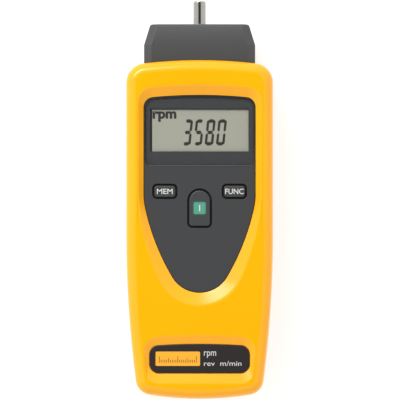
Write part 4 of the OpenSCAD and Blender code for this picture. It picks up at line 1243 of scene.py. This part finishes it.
class TACH_OT_badge(bpy.types.Operator):
    """Finishes the badge plate and prints a plain speed scale on it"""

    bl_idname = "tach.badge"
    bl_label = "Badge"

    def execute(self, context):
        shape = context.scene.tach_badge
        finished_copy("badge_plate", "badge_film", "badge_film", 0.25)
        z = BADGE_HIGH.z
        middle = node_middle("badge_plate").y
        field_low = Vector((BADGE_LOW.x + shape.inset, middle - shape.field_h / 2))
        field_high = field_low + Vector((shape.field_w, shape.field_h))
        plan = rounded_rect(field_low, field_high, shape.field_corner)
        print_piece(prism_along_z("scale_field", plan, z, z + INK), "badge_plate", "amber_ink")
        ticks = []
        for i in range(TICKS):
            reach = TENTH if i % 10 == 0 else FIFTH if i % 5 == 0 else OTHER
            x = field_low.x + shape.tick_start + i * shape.tick_pitch
            low = Vector((x - shape.tick_w / 2, middle - shape.tick_foot))
            tick = rounded_rect(low, low + Vector((shape.tick_w, reach * MM)), TICK_CORNER, steps=2)
            ticks.append(prism_along_z("tick", tick, z + INK, z + 2 * INK))
        print_piece(joined("scale_ticks", ticks), "badge_plate", "segment_ink")
        left = field_high.x + shape.text_gap
        for words, foot, top, width in BADGE_LINES:
            low = Vector((left, middle + foot * MM, z))
            high = Vector((left + width * MM, middle + top * MM, z + INK))
            line = lettering("badge_" + words.split()[0], words, low, high, 0)
            print_piece(line, "badge_plate", "legend_ink")
        return {"FINISHED"}


class TACH_OT_adapter(bpy.types.Operator):
    """Finishes the adapter's housing, its rear plate and its screws"""

    bl_idname = "tach.adapter"
    bl_label = "Adapter"

    def execute(self, context):
        # The tapers of the nose meet at shallow angles and still show as edges
        finished_copy(
            "adapter_housing", "adapter_shell", "adapter_moulded_abs", 0.35, segments=3, angle=13.5
        )
        finish_all(
            ("adapter_back", "adapter_plate", "adapter_moulded_abs", 0.2),
            ("adapter_screws", "adapter_screw_set", "zinc_plated_steel", 0.1),
        )
        return {"FINISHED"}


# The end of the shaft bulges out of its bevel to this share of the bevel's width
BULGE = 0.3
SPIN_STEPS, SHAFT_SMOOTH = 96, 30


class TACH_OT_spindle(bpy.types.Operator):
    """Spins the contact shaft and finishes the chopper disc on its inner end"""

    bl_idname = "tach.spindle"
    bl_label = "Spindle"

    def execute(self, context):
        shape = context.scene.tach_spindle
        r, stub, shoulder = shape.shaft_r, shape.stub_r, shape.shoulder_r
        soft, bevel, bulge = shape.soft, shape.bevel, BULGE * shape.bevel
        foot, tip = SHAFT_LOW.y, SHAFT_HIGH.y
        rear = node_box("rear_bearing_inner")[1].y
        front = node_box("front_bearing_inner")[0].y
        collar = NOSE_HIGH.y + shape.collar
        profile = [
            (0, foot), (r - soft, foot), (r, foot + soft), (r, rear), (shoulder - soft, rear),
            (shoulder, rear + soft), (shoulder, front - soft), (shoulder - soft, front), (r, front),
            (r, collar - soft), (r - soft, collar), (stub, collar), (stub, tip - bevel),
            (stub - bulge, tip - bulge), (stub - bevel, tip), (0, tip),
        ]
        open_piece("steel_shaft", [Vector((x, y, AXIS_Z)) for x, y in profile])
        # The edge on the axis closes the ring and isn't spun
        mesh = edit_mesh()
        for edge in mesh.edges:
            edge.select = all(abs(v.co.x) < NEAR for v in edge.verts)
        show_edit()
        bpy.ops.mesh.delete(type="EDGE")
        bpy.ops.mesh.select_all(action="SELECT")
        bpy.ops.mesh.spin(steps=SPIN_STEPS, angle=math.tau, center=(0, 0, AXIS_Z), axis=(0, 1, 0))
        bpy.ops.mesh.select_all(action="SELECT")
        bpy.ops.mesh.remove_doubles(threshold=NEAR)
        shaft = close_piece()
        smooth(shaft, SHAFT_SMOOTH)
        dress(shaft, "contact_shaft", "polished_steel")
        finished_copy("chopper_disc", "slotted_disc", "black_moulded_abs", 0.1)
        return {"FINISHED"}


class TACH_OT_bearings(bpy.types.Operator):
    """Finishes the two ball bearings and what holds them"""

    bl_idname = "tach.bearings"
    bl_label = "Bearings"

    def execute(self, context):
        for place in ("front", "rear"):
            for ring in ("outer", "inner"):
                finished_copy(f"{place}_bearing_{ring}", f"{place}_{ring}_race", "ground_steel", 0.12)
        finish_all(
            ("bearing_balls", "ball_sets", "ground_steel", 0),
            ("bearing_cages", "cage_pair", "stamped_brass", 0),
            ("bearing_spacer", "spacer_tube", "turned_aluminium", 0.15),
            ("bearing_clip", "snap_clip", "zinc_plated_steel", 0.1),
        )
        return {"FINISHED"}


class TACH_OT_optics(bpy.types.Operator):
    """Finishes the optical head in the mouth of the case"""

    bl_idname = "tach.optics"
    bl_label = "Optical head"

    def execute(self, context):
        finish_all(
            ("optical_block", "optics_holder", "black_moulded_abs", 0.3),
            ("laser_module", "laser_can", "stamped_brass", 0.15),
            ("laser_lens", "laser_optic", "clear_acrylic", 0),
            ("receiver_lens", "receiver_optic", "clear_acrylic", 0),
            ("photodiode", "receiver_diode", "black_moulded_abs", 0.1),
            ("head_window", "red_window", "red_filter", 0.15),
        )
        return {"FINISHED"}


class TACH_OT_board(bpy.types.Operator):
    """Finishes the circuit board, what stands on it and its screws"""

    bl_idname = "tach.board"
    bl_label = "Circuit board"

    def execute(self, context):
        finish_all(
            ("main_board", "circuit_board", "solder_mask", 0.1),
            ("processor_chip", "chip_package", "black_moulded_abs", 0),
            ("timing_crystal", "crystal_can", "zinc_plated_steel", 0.25),
            ("board_screws", "board_screw_set", "zinc_plated_steel", 0.1),
            ("key_switches", "switch_bodies", "black_moulded_abs", 0.15),
        )
        for key in ("power", "memory", "function"):
            finished_copy(f"{key}_plunger", f"{key}_switch_stem", "black_moulded_abs", 0.2)
        return {"FINISHED"}


# A cell's film leaves bare what lies within this radius and each face that looks along the cell by this much
TIP_R, END_FACING = 4 * MM, 0.95


class TACH_OT_cells(bpy.types.Operator):
    """Finishes the two cells and their contacts"""

    bl_idname = "tach.cells"
    bl_label = "Cells and contacts"

    def execute(self, context):
        for side in ("left", "right"):
            self.bare_ends(finished_copy(f"battery_{side}", f"{side}_cell", "cell_film", 0.5, segments=3))
        # The facets of the thin wire turn far from one to the next
        finished_copy("battery_springs", "coil_springs", "zinc_plated_steel", angle=65)
        finish_all(
            ("battery_terminals", "contact_plates", "stamped_brass", 0.1),
            ("battery_link", "contact_link", "stamped_brass", 0.1),
        )
        return {"FINISHED"}

    def bare_ends(self, cell):
        """Leaves the ends and the tip of a cell bare, where its film stops."""
        corners = [Vector(corner) for corner in cell.bound_box]
        middle = (corners[0] + corners[6]) / 2

        def bare(face):
            spot = face.calc_center_median() - middle
            return abs(face.normal.y) > END_FACING or math.hypot(spot.x, spot.z) < TIP_R

        second_finish(cell, "zinc_plated_steel", bare)


OPERATORS = (
    TACH_OT_stage, TACH_OT_front_case, TACH_OT_rear_case, TACH_OT_battery_door, TACH_OT_fascia,
    TACH_OT_display, TACH_OT_keys, TACH_OT_badge, TACH_OT_adapter, TACH_OT_spindle, TACH_OT_bearings,
    TACH_OT_optics, TACH_OT_board, TACH_OT_cells,
)


class TACH_PT_panel(bpy.types.Panel):
    """Lists the steps that dress the tachometer"""

    bl_idname = "TACH_PT_panel"
    bl_label = "Contact tachometer"
    bl_space_type = "VIEW_3D"
    bl_region_type = "UI"
    bl_category = "Tachometer"

    def draw(self, context):
        for group, kind in GROUPS.items():
            box = self.layout.box()
            for entry in kind.__annotations__:
                box.prop(getattr(context.scene, group), entry)
        for operator in OPERATORS:
            self.layout.operator(operator.bl_idname)


def register():
    for group, kind in GROUPS.items():
        bpy.utils.register_class(kind)
        setattr(bpy.types.Scene, group, PointerProperty(type=kind))
    for kind in (*OPERATORS, TACH_PT_panel):
        bpy.utils.register_class(kind)


def unregister():
    for kind in (TACH_PT_panel, *reversed(OPERATORS)):
        bpy.utils.unregister_class(kind)
    for group, kind in GROUPS.items():
        delattr(bpy.types.Scene, group)
        bpy.utils.unregister_class(kind)


def main():
    register()
    for operator in OPERATORS:
        group, name = operator.bl_idname.split(".")
        getattr(getattr(bpy.ops, group), name)()


if __name__ == "__main__":
    main()
